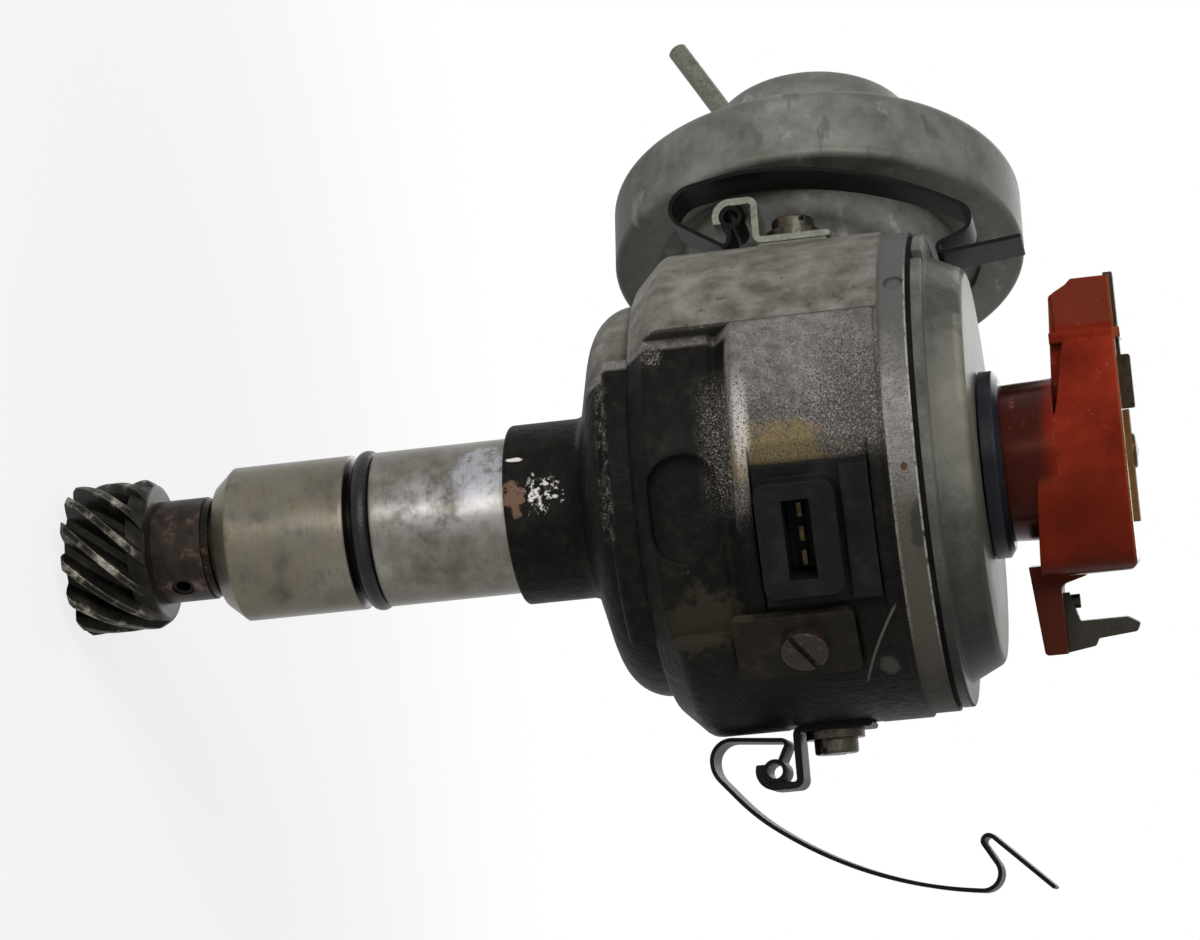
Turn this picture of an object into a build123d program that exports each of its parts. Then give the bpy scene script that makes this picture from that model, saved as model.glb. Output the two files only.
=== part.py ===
"""Ignition distributor with centrifugal and vacuum advance, as an assembly of separate pieces.

Millimetres. +Z runs along the shaft from the drive gear to the rotor arm. The origin is on the shaft's
axis, in the seat plane where the machined shank meets the thicker neck. The connector faces -Y, spring
clip B is near +X, and the vacuum unit and spring clip A are on the -X side, turned towards +Y.

A turned piece is drawn by its (radius, height) corners. A third number in a corner is its rounding.
"""
from build123d import *
import math
import os

# ---- fits and clearances -------------------------------------------------------------------------
RUNNING = 0.03            # radial clearance of a shaft or pivot in its bore
SWIVEL = 0.05             # radial clearance of the pickup plate on its boss
HINGE = 0.08              # radial clearance of a clip's roll in its bracket
END_FLOAT = 0.12          # axial clearance between pieces that turn on each other
SEATED = 0.3              # gap kept round a piece that lies in a recess
LOOSE = 0.3               # clearance of the pull rod's eye and of the yoke pins in their slots

# ---- shank, neck and bowl of the housing -----------------------------------------------------------
SHANK_R = 13.5
SHANK_LENGTH = 52.6
SHANK_LEAD = 3.1          # length of the lead chamfer
SHANK_LEAD_DEPTH = 2.7
GROOVE_TOP = 23.9         # distance of the O-ring groove's upper wall below the seat plane
GROOVE_WIDTH = 4.7
O_RING_R = 1.75           # radius of the ring's own section
O_RING_PROUD = 0.5        # how far it stands out of the shank
SEAT_WIDTH = 2.1          # width of the seat ring round the shank
NECK_FILLET = 2.5
SHOULDER_Z = 13.4         # where the first tier's sloping underside leaves the neck
SHOULDER_RISE = 5.0       # rise of that slope from the neck to the tier's wall
TIER_STEP = 7.8           # how far the first tier is set in from the bowl
TIER_CORNER = 7.5
TIER_TOP_Z = 25.2         # where the first tier steps out to the bowl
BOWL_R = 41.6
BOWL_CORNER_Z = 30.6
BOWL_BEVEL = 5.0          # width of the slope under the bowl's wall
RIM_STEP = 0.6            # how far the rim band is set in from the bowl
RIM_BAND_Z = 67.8
RIM_Z = 72.5
CHAMBER_FLOOR_Z = 19.7
CHAMBER_STEP = 2.0        # how far the chamber is set in from the weight room
CHAMBER_CORNER = 5.5
WEIGHT_ROOM_Z = 28.0
LEDGE_WIDTH = 4.0
LEDGE_Z = 45.0
BOWL_WALL = 5.1

# ---- front of the bowl: angles from -Y towards +X ---------------------------------------------------
FRONT_START = -41.0
FRONT_END = 52.0
FRONT_PROUD = 0.5         # how far the as-cast front stands proud of the bowl
FRONT_TOP_Z = 67.3
SILL_PROUD = 2.2          # square-edged pad on the first tier's corner
SILL_Z = 21.0
SILL_END = 41.0
STEP_Z = 28.0             # lower edge of the sunk panel above the sill
STEP_DEPTH = 1.8          # depth of the sunk panel in the bowl
STEP_END = 35.0
STEP_TOP_Z = 43.9
VALLEY_DEPTH = 0.6        # depth of the groove along the panel's upper edge
POCKET_TURN = 3.2
POCKET_Z = 34.2
POCKET_WIDTH = 17.8
POCKET_HEIGHT = 11.6
POCKET_CORNER = 5.4
POCKET_DEPTH = 3.0
MARK_TURN = -49.8         # shallow round mark on the rim band
MARK_Z = 70.6
MARK_R = 1.6
MARK_DEPTH = 0.5

# ---- shaft and drive gear ---------------------------------------------------------------------------
SHAFT_R = 6.0
SPINDLE_R = 4.0
BUSH_R = 8.0
LOWER_BUSH_LENGTH = 18.0
UPPER_BUSH_LENGTH = 14.0
GEAR_TEETH = 12
GEAR_TIP_R = 13.2
GEAR_ROOT_R = 10.0
GEAR_FACE = 13.1          # length of the full teeth
GEAR_RUNOUT = 2.1         # length over which the teeth taper off
GEAR_SHOULDER_R = 12.0    # solid shoulder that the tooth spaces run out against
GEAR_SHOULDER_WIDTH = 3.6
GEAR_HELIX = 45.0         # helix angle at the tooth tips, right hand
GEAR_LEAD_EDGE = 0.7
HUB_R = 9.0
HUB_LENGTH = 8.8
THRUST_WASHER_THICK = 1.4
SHAFT_STUB = 0.5          # how far the shaft's end lies inside the gear
GEAR_PIN_R = 2.0
GEAR_PIN_WALL = 0.7
GEAR_PIN_TURN = 46.0
THRUST_WASHER_R = 8.7
SHIM = 1.15

# ---- centrifugal advance ----------------------------------------------------------------------------
CARRIER_GAP = 2.5         # radial gap between the carrier and the weight room
CARRIER_LIFT = 6.1        # height of the carrier above the chamber's floor
CARRIER_THICK = 2.0
POST_RADIUS = 20.0        # distance of the weight pivots from the shaft's axis
POST_R = 2.5
POST_NECK_R = 1.8
YOKE_PIN_RADIUS = 13.0
YOKE_PIN_R = 1.5
YOKE_THICK = 2.0
YOKE_DISC_R = 11.8
WEIGHT_THICK = 5.2
WEIGHT_OUTER_R = 24.0
WEIGHT_INNER_R = 13.6
WEIGHT_LUG_R = 4.5
WEIGHT_END = 138.0
SPRING_POST_RADIUS = 10.0
SPRING_POST_TURN = 70.0
SPRING_WIRE_R = 0.4
SPRING_COIL_R = 1.5
SPRING_TURNS = 5
SLEEVE_R = 7.0
SLEEVE_REACH = 9.0        # how far the sleeve reaches into the rotor arm
SLEEVE_CUP_R = 5.5
SLEEVE_CUP_DEPTH = 10.0
CIRCLIP_THICK = 0.8

# ---- trigger wheel and pickup -----------------------------------------------------------------------
WHEEL_R = 15.0
WHEEL_ROOT_R = 10.6
WHEEL_TEETH = 4
WHEEL_LIFT = 9.0          # height of the trigger wheel above the ledge
WHEEL_THICK = 3.6
WHEEL_HUB_R = 9.4
AIR_GAP = 0.5
PLATE_THICK = 2.0
PLATE_GAP = 5.5           # radial gap between the pickup plate and the bowl's wall
BOSS_R = 12.5
BOSS_BORE_R = 10.5
BOSS_HEIGHT = 4.0
PICKUP_TURN = 11.5
PICKUP_INSET = 1.5        # distance of the pickup's back from the plate's edge
MAGNET_DEPTH = 5.0
MAGNET_WIDTH = 19.0
POLE_WIDTH = 4.0
POLE_THICK = 2.5
COIL_LENGTH = 7.0
COIL_WIDTH = 11.0
PLATE_SCREW_R = 1.5

# ---- vacuum unit: turned from -X towards +Y -----------------------------------------------------------
VACUUM_TURN = 29.0
VACUUM_OFFSET = 25.0      # distance of its axis from the shaft's axis
VACUUM_LIFT = 6.4         # height of its axis above the ledge
CAN_R = 37.7
CAN_WALL = 1.2
CAN_STANDOFF = 17.8       # distance of the rim's near face from the bowl, along the unit's axis
CAN_HEIGHT = 14.7
CAN_EDGE = 2.6
DRUM_R = 26.0
DRUM_DEPTH = 10.4
DOME_R = 18.0
DOME_FOOT_R = 26.0
DOME_HEIGHT = 18.0
DOME_CORNER = 4.0
NECK_TUBE_R = 6.2
NECK_TUBE_BORE = 4.6
DIAPHRAGM_THICK = 1.2
CUP_R = 17.0
ROD_WIDTH = 6.0
ROD_THICK = 1.6
ROD_EYE_R = 4.2
PLATE_PIN_R = 2.0
STRAP_THICK = 1.4
STRAP_WIDTH = 12.0
STRAP_FAR_TURN = 80.0     # direction of its far screw, from +X
PIPE_R = 1.9
PIPE_BORE = 1.1
PIPE_LEAN = 28.8          # lean of the pipe from the unit's axis towards -Z
PIPE_PLACE = 14.2         # distance of its root from the unit's axis
PIPE_ROOT_R = 2.5
PIPE_ROOT_HEIGHT = 3.2    # height of the thicker root above the dome's face
PIPE_SUNK = 3.0           # how far the root reaches in through the face
HOSE_LENGTH = 20.0        # length of the pipe that the hose grips
PIPE_EDGE = 0.3

# ---- dust cover, collar and rotor ---------------------------------------------------------------------
GASKET_THICK = 0.8
COVER_INSET = 0.5         # how far the flange is set in from the rim
COVER_FLANGE_THICK = 1.8
COVER_LEDGE = 4.0         # width of the ledge that the cap stands on
COVER_CONE = 2.9          # how far the raised part narrows
COVER_HEIGHT = 8.5        # height of the cover's face above the rim
COVER_WALL = 1.8
COVER_HOLE_R = 9.5
COVER_NOTCH_TURN = -63.0
COLLAR_R = 16.0
COLLAR_HEIGHT = 3.7
ROTOR_HUB_R = 13.3
ROTOR_HEIGHT = 17.3
ROTOR_LIFT = 3.0          # height of the arm's underside above the collar
ROTOR_SKIRT = 1.2         # how far the body's skirt ends above the tail's underside
ROTOR_HEEL_X = 19.8
ROTOR_HEEL_HALF = 13.9
ROTOR_SHOULDER_X = -21.0
ROTOR_SHOULDER_HALF = 7.0
ROTOR_TIP_X = -29.8
ROTOR_TIP_HALF = 5.2
ROTOR_TIP_LIFT = 6.9
ROTOR_WEB_HALF = 4.2
ROTOR_RIB = 1.0           # height and thickness of the rib across the body's narrow end
ELECTRODE_HALF = 2.6
ELECTRODE_THICK = 0.6
CONTACT_X = -16.3         # where the electrode's raised contact starts
CONTACT_LENGTH = 9.1
CONTACT_HEIGHT = 2.1      # height of the contact above the arm's face
CENTRE_CONTACT_R = 3.0
RESISTOR_HALF = 3.4
TAIL_X = 32.9
TAIL_HALF = 6.5
TAIL_THICK = 4.1
TAIL_LEAN = 1.0           # how much lower the tail's underside is at the body
LIMITER_X = 22.8
LIMITER_HALF = 1.8
KNOB_X = 24.4
KNOB_R = 1.2
FINGER_X = 27.8
FINGER_HEIGHT = 12.4

# ---- connector and its clamp ----------------------------------------------------------------------------
CONNECTOR_TURN = 11.5
CONNECTOR_DEPTH = 2.3     # depth of the recess in the bowl
CONNECTOR_PROUD = 3.4     # how far the connector stands out of the bowl
RECESS_LOW_Z = 45.5
RECESS_HEIGHT = 19.5
FLANGE_HALF = 11.6
FLANGE_THICK = 1.0
BLOCK_HALF = 9.4
BLOCK_LIFT = 0.7
BLOCK_HEIGHT = 13.0
SOCKET_HALF = 6.6
SOCKET_LIFT = 4.3
SOCKET_HEIGHT = 4.6
SOCKET_DEPTH = 8.4
WINDOW_HALF = 6.6
TERMINALS = 3
TERMINAL_PITCH = 4.0
TERMINAL_SUNK = 5.0       # free depth of the socket in front of the blades
CLAMP_TURN = 37.5
CLAMP_FLAT_DEPTH = 0.2
CLAMP_HALF = 6.3
CLAMP_THICK = 1.6
CLAMP_DROP = 6.0          # how far the clamp reaches below the recess
CLAMP_HEIGHT = 20.0
CLAMP_SCREW_RISE = 11.3
CLAMP_HEAD_R = 3.9
CLAMP_HEAD_HEIGHT = 2.0

# ---- spring clips and brackets: built at +X, in (radius, height) ------------------------------------------
CLIP_A_TURN = 164.0       # direction of clip A, from +X
CLIP_B_TURN = -7.0
CLIP_FLAT_DEPTH = 0.4     # depth of the flat on the bowl under bracket B
CLIP_WIDTH = 9.6
CLIP_THICK = 0.7
CLIP_SWING = 38.5         # from swung open to closed over the rim
HINGE_STANDOFF = 6.9      # distance of the hinge from the bowl
HINGE_DROP = 31.6         # distance of the hinge below the rim
ROLL_R = 2.0
BRACKET_THICK = 1.2
BRACKET_WIDTH = 10.0
BRACKET_LEG_RISE = 4.2    # height of the bracket's leg above the hinge
BRACKET_LENGTH = 12.4
CLIP_SCREW_RISE = 6.1     # height of the screw above the bracket's leg
CLIP_SCREW_R = 2.0
CLIP_HEAD_R = 3.75
CLIP_HEAD_HEIGHT = 2.6
CLIP_WASHER_R = 5.0
CLIP_WASHER_THICK = 1.4


# ---- sizes that follow from those above --------------------------------------------------------------
NECK_R = SHANK_R + SEAT_WIDTH
TIER_R = BOWL_R - TIER_STEP
RIM_R = BOWL_R - RIM_STEP
CAVITY_R = BOWL_R - BOWL_WALL
WEIGHT_ROOM_R = CAVITY_R - LEDGE_WIDTH
CHAMBER_R = WEIGHT_ROOM_R - CHAMBER_STEP
FRONT_R = BOWL_R + FRONT_PROUD
SILL_R = TIER_R + SILL_PROUD
STEP_R = BOWL_R - STEP_DEPTH
VALLEY_R = STEP_R - VALLEY_DEPTH
HUB_TOP_Z = -SHANK_LENGTH - END_FLOAT - SHIM - THRUST_WASHER_THICK
GEAR_SHOULDER_Z = HUB_TOP_Z - HUB_LENGTH
GEAR_FACE_END_Z = GEAR_SHOULDER_Z - GEAR_RUNOUT
GEAR_END_Z = GEAR_FACE_END_Z - GEAR_FACE
SHAFT_END_Z = GEAR_END_Z + SHAFT_STUB
CARRIER_R = WEIGHT_ROOM_R - CARRIER_GAP
CARRIER_Z = CHAMBER_FLOOR_Z + CARRIER_LIFT
PLATE_R = CAVITY_R - PLATE_GAP
PICKUP_BACK = PLATE_R - PICKUP_INSET
WHEEL_Z = LEDGE_Z + WHEEL_LIFT
VACUUM_Z = LEDGE_Z + VACUUM_LIFT
STRAP_LOW_Z = VACUUM_Z - STRAP_WIDTH / 2
STRAP_HIGH_Z = VACUUM_Z + STRAP_WIDTH / 2
CAN_LIP = BOWL_R + CAN_STANDOFF
DRUM_START = CAN_LIP - DRUM_DEPTH
COVER_FLANGE_R = RIM_R - COVER_INSET
COVER_STEP_R = COVER_FLANGE_R - COVER_LEDGE
COVER_EDGE_R = COVER_STEP_R - COVER_CONE
COVER_FACE_Z = RIM_Z + COVER_HEIGHT
COLLAR_TOP_Z = COVER_FACE_Z + COLLAR_HEIGHT
ROTOR_UNDER_Z = COLLAR_TOP_Z + ROTOR_LIFT
ROTOR_FACE_Z = ROTOR_UNDER_Z + ROTOR_HEIGHT
ROTOR_TIP_Z = ROTOR_UNDER_Z + ROTOR_TIP_LIFT
TAIL_Z = ROTOR_UNDER_Z + TAIL_THICK
SLEEVE_TOP_Z = ROTOR_UNDER_Z + SLEEVE_REACH
SLEEVE_CUP_Z = SLEEVE_TOP_Z - SLEEVE_CUP_DEPTH
CONNECTOR_SEAT = BOWL_R - CONNECTOR_DEPTH
CONNECTOR_FACE = BOWL_R + CONNECTOR_PROUD
RECESS_HIGH_Z = RECESS_LOW_Z + RECESS_HEIGHT
BLOCK_LOW_Z = RECESS_LOW_Z + BLOCK_LIFT
BLOCK_HIGH_Z = BLOCK_LOW_Z + BLOCK_HEIGHT
SOCKET_LOW_Z = BLOCK_LOW_Z + SOCKET_LIFT
SOCKET_HIGH_Z = SOCKET_LOW_Z + SOCKET_HEIGHT
SOCKET_FLOOR = CONNECTOR_FACE - SOCKET_DEPTH
TERMINAL_TIP = CONNECTOR_FACE - TERMINAL_SUNK
CLAMP_SEAT = BOWL_R - CLAMP_FLAT_DEPTH
CLAMP_LOW_Z = RECESS_LOW_Z - CLAMP_DROP
CLAMP_HIGH_Z = CLAMP_LOW_Z + CLAMP_HEIGHT
CLAMP_SCREW_Z = CLAMP_LOW_Z + CLAMP_SCREW_RISE
CLIP_FLAT = BOWL_R - CLIP_FLAT_DEPTH
HINGE_RADIUS = BOWL_R + HINGE_STANDOFF
HINGE_Z = RIM_Z - HINGE_DROP
BRACKET_LEG_Z = HINGE_Z + BRACKET_LEG_RISE
BRACKET_END_Z = BRACKET_LEG_Z + BRACKET_LENGTH
CLIP_SCREW_Z = BRACKET_LEG_Z + CLIP_SCREW_RISE


# ==== drawing helpers =====================================================================================
def outline(*corners):
    """Closed face in the XZ plane from (x, z) or (x, z, rounding) corners."""
    points = [(corner[0], 0, corner[1]) for corner in corners]
    roundings = [corner[2] if len(corner) == 3 else 0 for corner in corners]
    return make_face(FilletPolyline(*points, radius=roundings, close=True))


def turned(*corners, start=0.0, arc=360.0):
    """Solid of revolution about Z, or the sector of it that begins at start degrees from +X."""
    return Rot(0, 0, start) * revolve(outline(*corners), Axis.Z, arc)


def ring(outer, inner, low, high, **sector):
    return turned((inner, low), (outer, low), (outer, high), (inner, high), **sector)


def disc(radius, low, high):
    return turned((0, low), (radius, low), (radius, high), (0, high))


def slab(profile, half):
    """Face in the XZ plane, thickened by half to each side."""
    return extrude(profile, half, both=True)


def block(x_low, x_high, y_low, y_high, z_low, z_high):
    """Box between its faces."""
    size = (x_high - x_low, y_high - y_low, z_high - z_low)
    middle = ((x_low + x_high) / 2, (y_low + y_high) / 2, (z_low + z_high) / 2)
    return Pos(*middle) * Box(*size)


def prism(sketch, low, high):
    """Flat sketch in XY, raised from low to high."""
    return Pos(0, 0, low) * extrude(sketch, high - low)


def place(radius, turn):
    """Point at a radius from the axis, turned from +X."""
    return (radius * math.cos(math.radians(turn)), radius * math.sin(math.radians(turn)))


def outward(solid):
    """Lays a turned piece on its side, so that its height runs out along +X."""
    return Rot(0, 90, 0) * solid


def front(turn, solid):
    """Takes a piece built at -Y round to turn degrees towards +X."""
    return Rot(0, 0, turn) * solid


def sheet(points, thickness, width):
    """Bent sheet: a centreline of (x, z, bend radius) points in XZ, with a width along Y."""
    bends = [point[2] if len(point) == 3 else 0 for point in points[1:-1]]
    line = FilletPolyline(*[point[:2] for point in points], radius=bends)
    edges = offset(line, thickness / 2, side=Side.BOTH).edges()
    return Pos(0, width / 2, 0) * extrude(Plane.XZ * make_face(edges), width)


def slotted_head(radius, height, slot_width, slot_depth):
    """Cheese head on z = 0 with a screwdriver slot."""
    head = turned((0, 0), (radius, 0), (radius, height, 0.5), (0, height))
    return head - block(-slot_width / 2, slot_width / 2, -radius, radius, height - slot_depth, height)


def slotted_screw(radius, length, head_radius, head_height):
    """Screw whose head stands on z = 0 and whose plain shank hangs below it."""
    slot = head_radius * 0.28
    return slotted_head(head_radius, head_height, slot, head_height * 0.45) + disc(radius, -length, 0)


def radial(turn, height, radius, solid):
    """Stands a piece that is built along +Z on a cylinder of the given radius, pointing outwards."""
    return Rot(0, 0, turn) * Pos(radius, 0, height) * outward(solid)


# ==== housing =================================================================================================
GROOVE_FLOOR_R = SHANK_R + O_RING_PROUD - 2 * O_RING_R
VACUUM_DIRECTION = 180.0 - VACUUM_TURN
CLIP_HOLE_DEPTH = BOWL_R - CAVITY_R + 2


def vacuum(solid):
    """Takes a piece built round the X axis to the vacuum unit's own axis."""
    return Rot(0, 0, VACUUM_DIRECTION) * Pos(0, -VACUUM_OFFSET, VACUUM_Z) * solid


def housing_outside():
    lead_z = -SHANK_LENGTH + SHANK_LEAD
    groove_top = -GROOVE_TOP
    groove_low = groove_top - GROOVE_WIDTH
    return turned(
        (0, -SHANK_LENGTH),
        (SHANK_R - SHANK_LEAD_DEPTH, -SHANK_LENGTH),
        (SHANK_R, lead_z),
        (SHANK_R, groove_low),
        (GROOVE_FLOOR_R, groove_low),
        (GROOVE_FLOOR_R, groove_top),
        (SHANK_R, groove_top),
        (SHANK_R, 0),
        (NECK_R, 0, 0.6),
        (NECK_R, SHOULDER_Z, NECK_FILLET),
        (TIER_R, SHOULDER_Z + SHOULDER_RISE, TIER_CORNER),
        (TIER_R, TIER_TOP_Z, 0.1),
        (BOWL_R - BOWL_BEVEL, TIER_TOP_Z + 0.4, 2.0),
        (BOWL_R, BOWL_CORNER_Z, 3.0),
        (BOWL_R, RIM_BAND_Z),
        (RIM_R, RIM_BAND_Z + 0.4),
        (RIM_R, RIM_Z),
        (0, RIM_Z),
    )


def housing_inside():
    chamber = turned(
        (0, CHAMBER_FLOOR_Z),
        (CHAMBER_R, CHAMBER_FLOOR_Z, CHAMBER_CORNER),
        (CHAMBER_R, WEIGHT_ROOM_Z),
        (WEIGHT_ROOM_R, WEIGHT_ROOM_Z),
        (WEIGHT_ROOM_R, LEDGE_Z),
        (CAVITY_R, LEDGE_Z),
        (CAVITY_R, RIM_Z),
        (0, RIM_Z),
    )
    return chamber + disc(BUSH_R, -SHANK_LENGTH, CHAMBER_FLOOR_Z)


def front_raise():
    """As-cast front sector, a little proud of the turned bowl, and the square sill on the first tier."""
    sector = {"start": FRONT_START - 90, "arc": FRONT_END - FRONT_START}
    skin = turned(
        (BOWL_R - 1, STEP_TOP_Z - 1),
        (FRONT_R, STEP_TOP_Z - 1),
        (FRONT_R, FRONT_TOP_Z, 0.6),
        (BOWL_R - 1, FRONT_TOP_Z),
        **sector,
    )
    sill = turned(
        (CHAMBER_R + 1, SILL_Z),
        (SILL_R, SILL_Z, 1.2),
        (SILL_R, STEP_Z + 1),
        (CHAMBER_R + 1, STEP_Z + 1),
        start=FRONT_START - 90,
        arc=SILL_END - FRONT_START,
    )
    return skin, sill


def front_cuts():
    """Sunk panel with its valley, the oval pocket in it, and the round mark on the rim band."""
    clear = FRONT_R + 2
    panel = turned(
        (STEP_R, STEP_Z),
        (STEP_R, STEP_TOP_Z - 4.4),
        (VALLEY_R, STEP_TOP_Z - 3.6),
        (VALLEY_R, STEP_TOP_Z - 3.0),
        (FRONT_R + 0.1, STEP_TOP_Z),
        (clear, STEP_TOP_Z),
        (clear, STEP_Z),
        start=FRONT_START - 90,
        arc=STEP_END - FRONT_START,
    )
    oval = Plane.XZ * RectangleRounded(POCKET_WIDTH, POCKET_HEIGHT, POCKET_CORNER)
    floor = STEP_R - POCKET_DEPTH
    pocket = Pos(0, -floor, POCKET_Z) * extrude(oval, clear - floor)
    mark = radial(MARK_TURN - 90, MARK_Z, RIM_R - MARK_DEPTH, disc(MARK_R, 0, 2))
    return panel, front(POCKET_TURN, pocket), mark


def connector_cuts():
    """Flat recess for the connector with its window, and the flat under the clamp."""
    wide = FRONT_R
    recess = block(-wide, wide, -wide - 3, -CONNECTOR_SEAT, RECESS_LOW_Z, RECESS_HIGH_Z)
    window = block(-WINDOW_HALF, WINDOW_HALF, -wide, -CAVITY_R + 4, BLOCK_LOW_Z + 2, BLOCK_HIGH_Z - 2)
    flat = block(-wide / 3, wide / 3, -wide - 3, -CLAMP_SEAT, CLAMP_LOW_Z - 0.5, CLAMP_HIGH_Z + 0.5)
    hole = radial(CLAMP_TURN - 90, CLAMP_SCREW_Z, CAVITY_R - 2, disc(CLIP_SCREW_R, 0, 12))
    return front(CONNECTOR_TURN, recess), front(CONNECTOR_TURN, window), front(CLAMP_TURN, flat), hole


def housing_holes():
    """Clip, strap and bearing-plate screw holes, the flat for bracket B and the pull rod's slot."""
    reach = CLIP_HOLE_DEPTH + 4
    cuts = [
        radial(turn, CLIP_SCREW_Z, CAVITY_R - 2, disc(CLIP_SCREW_R, 0, reach))
        for turn in (CLIP_B_TURN, CLIP_A_TURN, STRAP_FAR_TURN)
    ]
    half = BRACKET_WIDTH
    flat = block(CLIP_FLAT, BOWL_R + 2, -half, half, BRACKET_LEG_Z - 2, BRACKET_END_Z + 2)
    cuts.append(Rot(0, 0, CLIP_B_TURN) * flat)
    cuts.append(vacuum(outward(prism(SlotOverall(2 * NECK_TUBE_BORE - 1, ROD_EYE_R + 1, 90), 16, 48))))
    for turn in bearing_screw_turns():
        hole = disc(PLATE_SCREW_R, LEDGE_Z - 6, LEDGE_Z)
        cuts.append(Pos(*place(LEDGE_SCREW_RADIUS, turn), 0) * hole)
    return cuts


LEDGE_SCREW_RADIUS = (WEIGHT_ROOM_R + CAVITY_R) / 2


def bearing_screw_turns():
    return [PICKUP_TURN - 90 + 60 + 120 * n for n in range(3)]


def make_housing():
    body = housing_outside()
    for piece in front_raise():
        body += piece
    body -= housing_inside()
    for cut in (*front_cuts(), *connector_cuts(), *housing_holes()):
        body -= cut
    return body


def make_shank_o_ring():
    middle_r = GROOVE_FLOOR_R + O_RING_R
    middle_z = -GROOVE_TOP - O_RING_R - 0.05
    return Pos(0, 0, middle_z) * Torus(middle_r, O_RING_R)


def make_bush(low, high):
    return ring(BUSH_R, SHAFT_R + RUNNING, low, high)


# ==== shaft and drive gear ======================================================================================
def gear_pin_place(solid):
    """Along the gear's cross hole, through the hub and the shaft."""
    middle_z = (GEAR_SHOULDER_Z + HUB_TOP_Z) / 2
    return Rot(0, 0, GEAR_PIN_TURN - 90) * Pos(0, 0, middle_z) * outward(solid)


def gear_section():
    """Twelve-tooth outline: each tooth runs root, pitch line, tip, tip, pitch line, root."""
    pitch_r = (GEAR_TIP_R + GEAR_ROOT_R) / 2
    step = 360.0 / GEAR_TEETH
    flank = ((-0.33, GEAR_ROOT_R), (-0.25, pitch_r), (-0.12, GEAR_TIP_R))
    tooth = flank + tuple((-share, radius) for share, radius in reversed(flank))
    points = [place(radius, (n + share) * step) for n in range(GEAR_TEETH) for share, radius in tooth]
    return make_face(Polyline(*points, close=True))


def make_drive_gear():
    length = GEAR_SHOULDER_Z - GEAR_END_Z
    twist = math.degrees(length * math.tan(math.radians(GEAR_HELIX)) / GEAR_TIP_R)
    section = gear_section().faces()[0]
    teeth = Solid.extrude_linear_with_rotation(section, (0, 0, 0), (0, 0, length), twist)
    envelope = turned(
        (0, GEAR_END_Z),
        (GEAR_TIP_R - GEAR_LEAD_EDGE, GEAR_END_Z),
        (GEAR_TIP_R, GEAR_END_Z + GEAR_LEAD_EDGE),
        (GEAR_TIP_R, GEAR_FACE_END_Z, 1.2),
        (GEAR_SHOULDER_R, GEAR_SHOULDER_Z, 1.2),
        (0, GEAR_SHOULDER_Z),
    )
    shoulder = disc(GEAR_SHOULDER_R, GEAR_SHOULDER_Z - GEAR_SHOULDER_WIDTH, GEAR_SHOULDER_Z)
    gear = (Pos(0, 0, GEAR_END_Z) * teeth + shoulder) & envelope
    gear += disc(HUB_R, GEAR_SHOULDER_Z - 0.5, HUB_TOP_Z)
    gear -= disc(SHAFT_R, GEAR_END_Z, HUB_TOP_Z)
    return gear - gear_pin_place(disc(GEAR_PIN_R, -HUB_R, HUB_R))


def make_gear_pin():
    half = HUB_R - 0.4
    return gear_pin_place(ring(GEAR_PIN_R, GEAR_PIN_R - GEAR_PIN_WALL, -half, half))


SHAFT_COLLAR_R = 8.0
SHAFT_COLLAR_Z = CHAMBER_FLOOR_Z + 1.0
CARRIER_TOP_Z = CARRIER_Z + CARRIER_THICK
WEIGHT_Z = CARRIER_TOP_Z + 2 * END_FLOAT
WEIGHT_TOP_Z = WEIGHT_Z + WEIGHT_THICK
YOKE_Z = WEIGHT_TOP_Z + 4 * END_FLOAT
SPINDLE_TOP_Z = SLEEVE_CUP_Z + 3.4
SPINDLE_GROOVE_Z = SLEEVE_CUP_Z + 0.6
SPINDLE_GROOVE_R = SPINDLE_R - 0.7


def make_shaft():
    shaft = turned(
        (0, SHAFT_END_Z),
        (SHAFT_R - 0.6, SHAFT_END_Z),
        (SHAFT_R, SHAFT_END_Z + 0.6),
        (SHAFT_R, SHAFT_COLLAR_Z),
        (SHAFT_COLLAR_R, SHAFT_COLLAR_Z),
        (SHAFT_COLLAR_R, CARRIER_Z),
        (SHAFT_R, CARRIER_Z),
        (SHAFT_R, CARRIER_TOP_Z),
        (SPINDLE_R, CARRIER_TOP_Z),
        (SPINDLE_R, SPINDLE_GROOVE_Z),
        (SPINDLE_GROOVE_R, SPINDLE_GROOVE_Z),
        (SPINDLE_GROOVE_R, SPINDLE_GROOVE_Z + CIRCLIP_THICK),
        (SPINDLE_R, SPINDLE_GROOVE_Z + CIRCLIP_THICK),
        (SPINDLE_R, SPINDLE_TOP_Z - 0.5),
        (SPINDLE_R - 0.5, SPINDLE_TOP_Z),
        (0, SPINDLE_TOP_Z),
    )
    return shaft - gear_pin_place(disc(GEAR_PIN_R, -HUB_R, HUB_R))


def make_thrust_washers():
    """Hardened washer and shim between the gear hub and the shank's end."""
    washer_top = HUB_TOP_Z + THRUST_WASHER_THICK
    shim_top = -SHANK_LENGTH - END_FLOAT
    washer = ring(THRUST_WASHER_R, SHAFT_R, HUB_TOP_Z, washer_top)
    shim = ring(THRUST_WASHER_R - 0.6, SHAFT_R, shim_top - SHIM, shim_top)
    return washer, shim


def make_upper_thrust_washer():
    return ring(SHAFT_COLLAR_R, SHAFT_R, CHAMBER_FLOOR_Z + END_FLOAT, SHAFT_COLLAR_Z)


# ==== centrifugal advance =========================================================================================
def opposed(solid):
    """The piece and its twin half a turn round the shaft."""
    return [solid, Rot(0, 0, 180) * solid]


def at_post(solid):
    return Pos(POST_RADIUS, 0, 0) * solid


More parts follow.
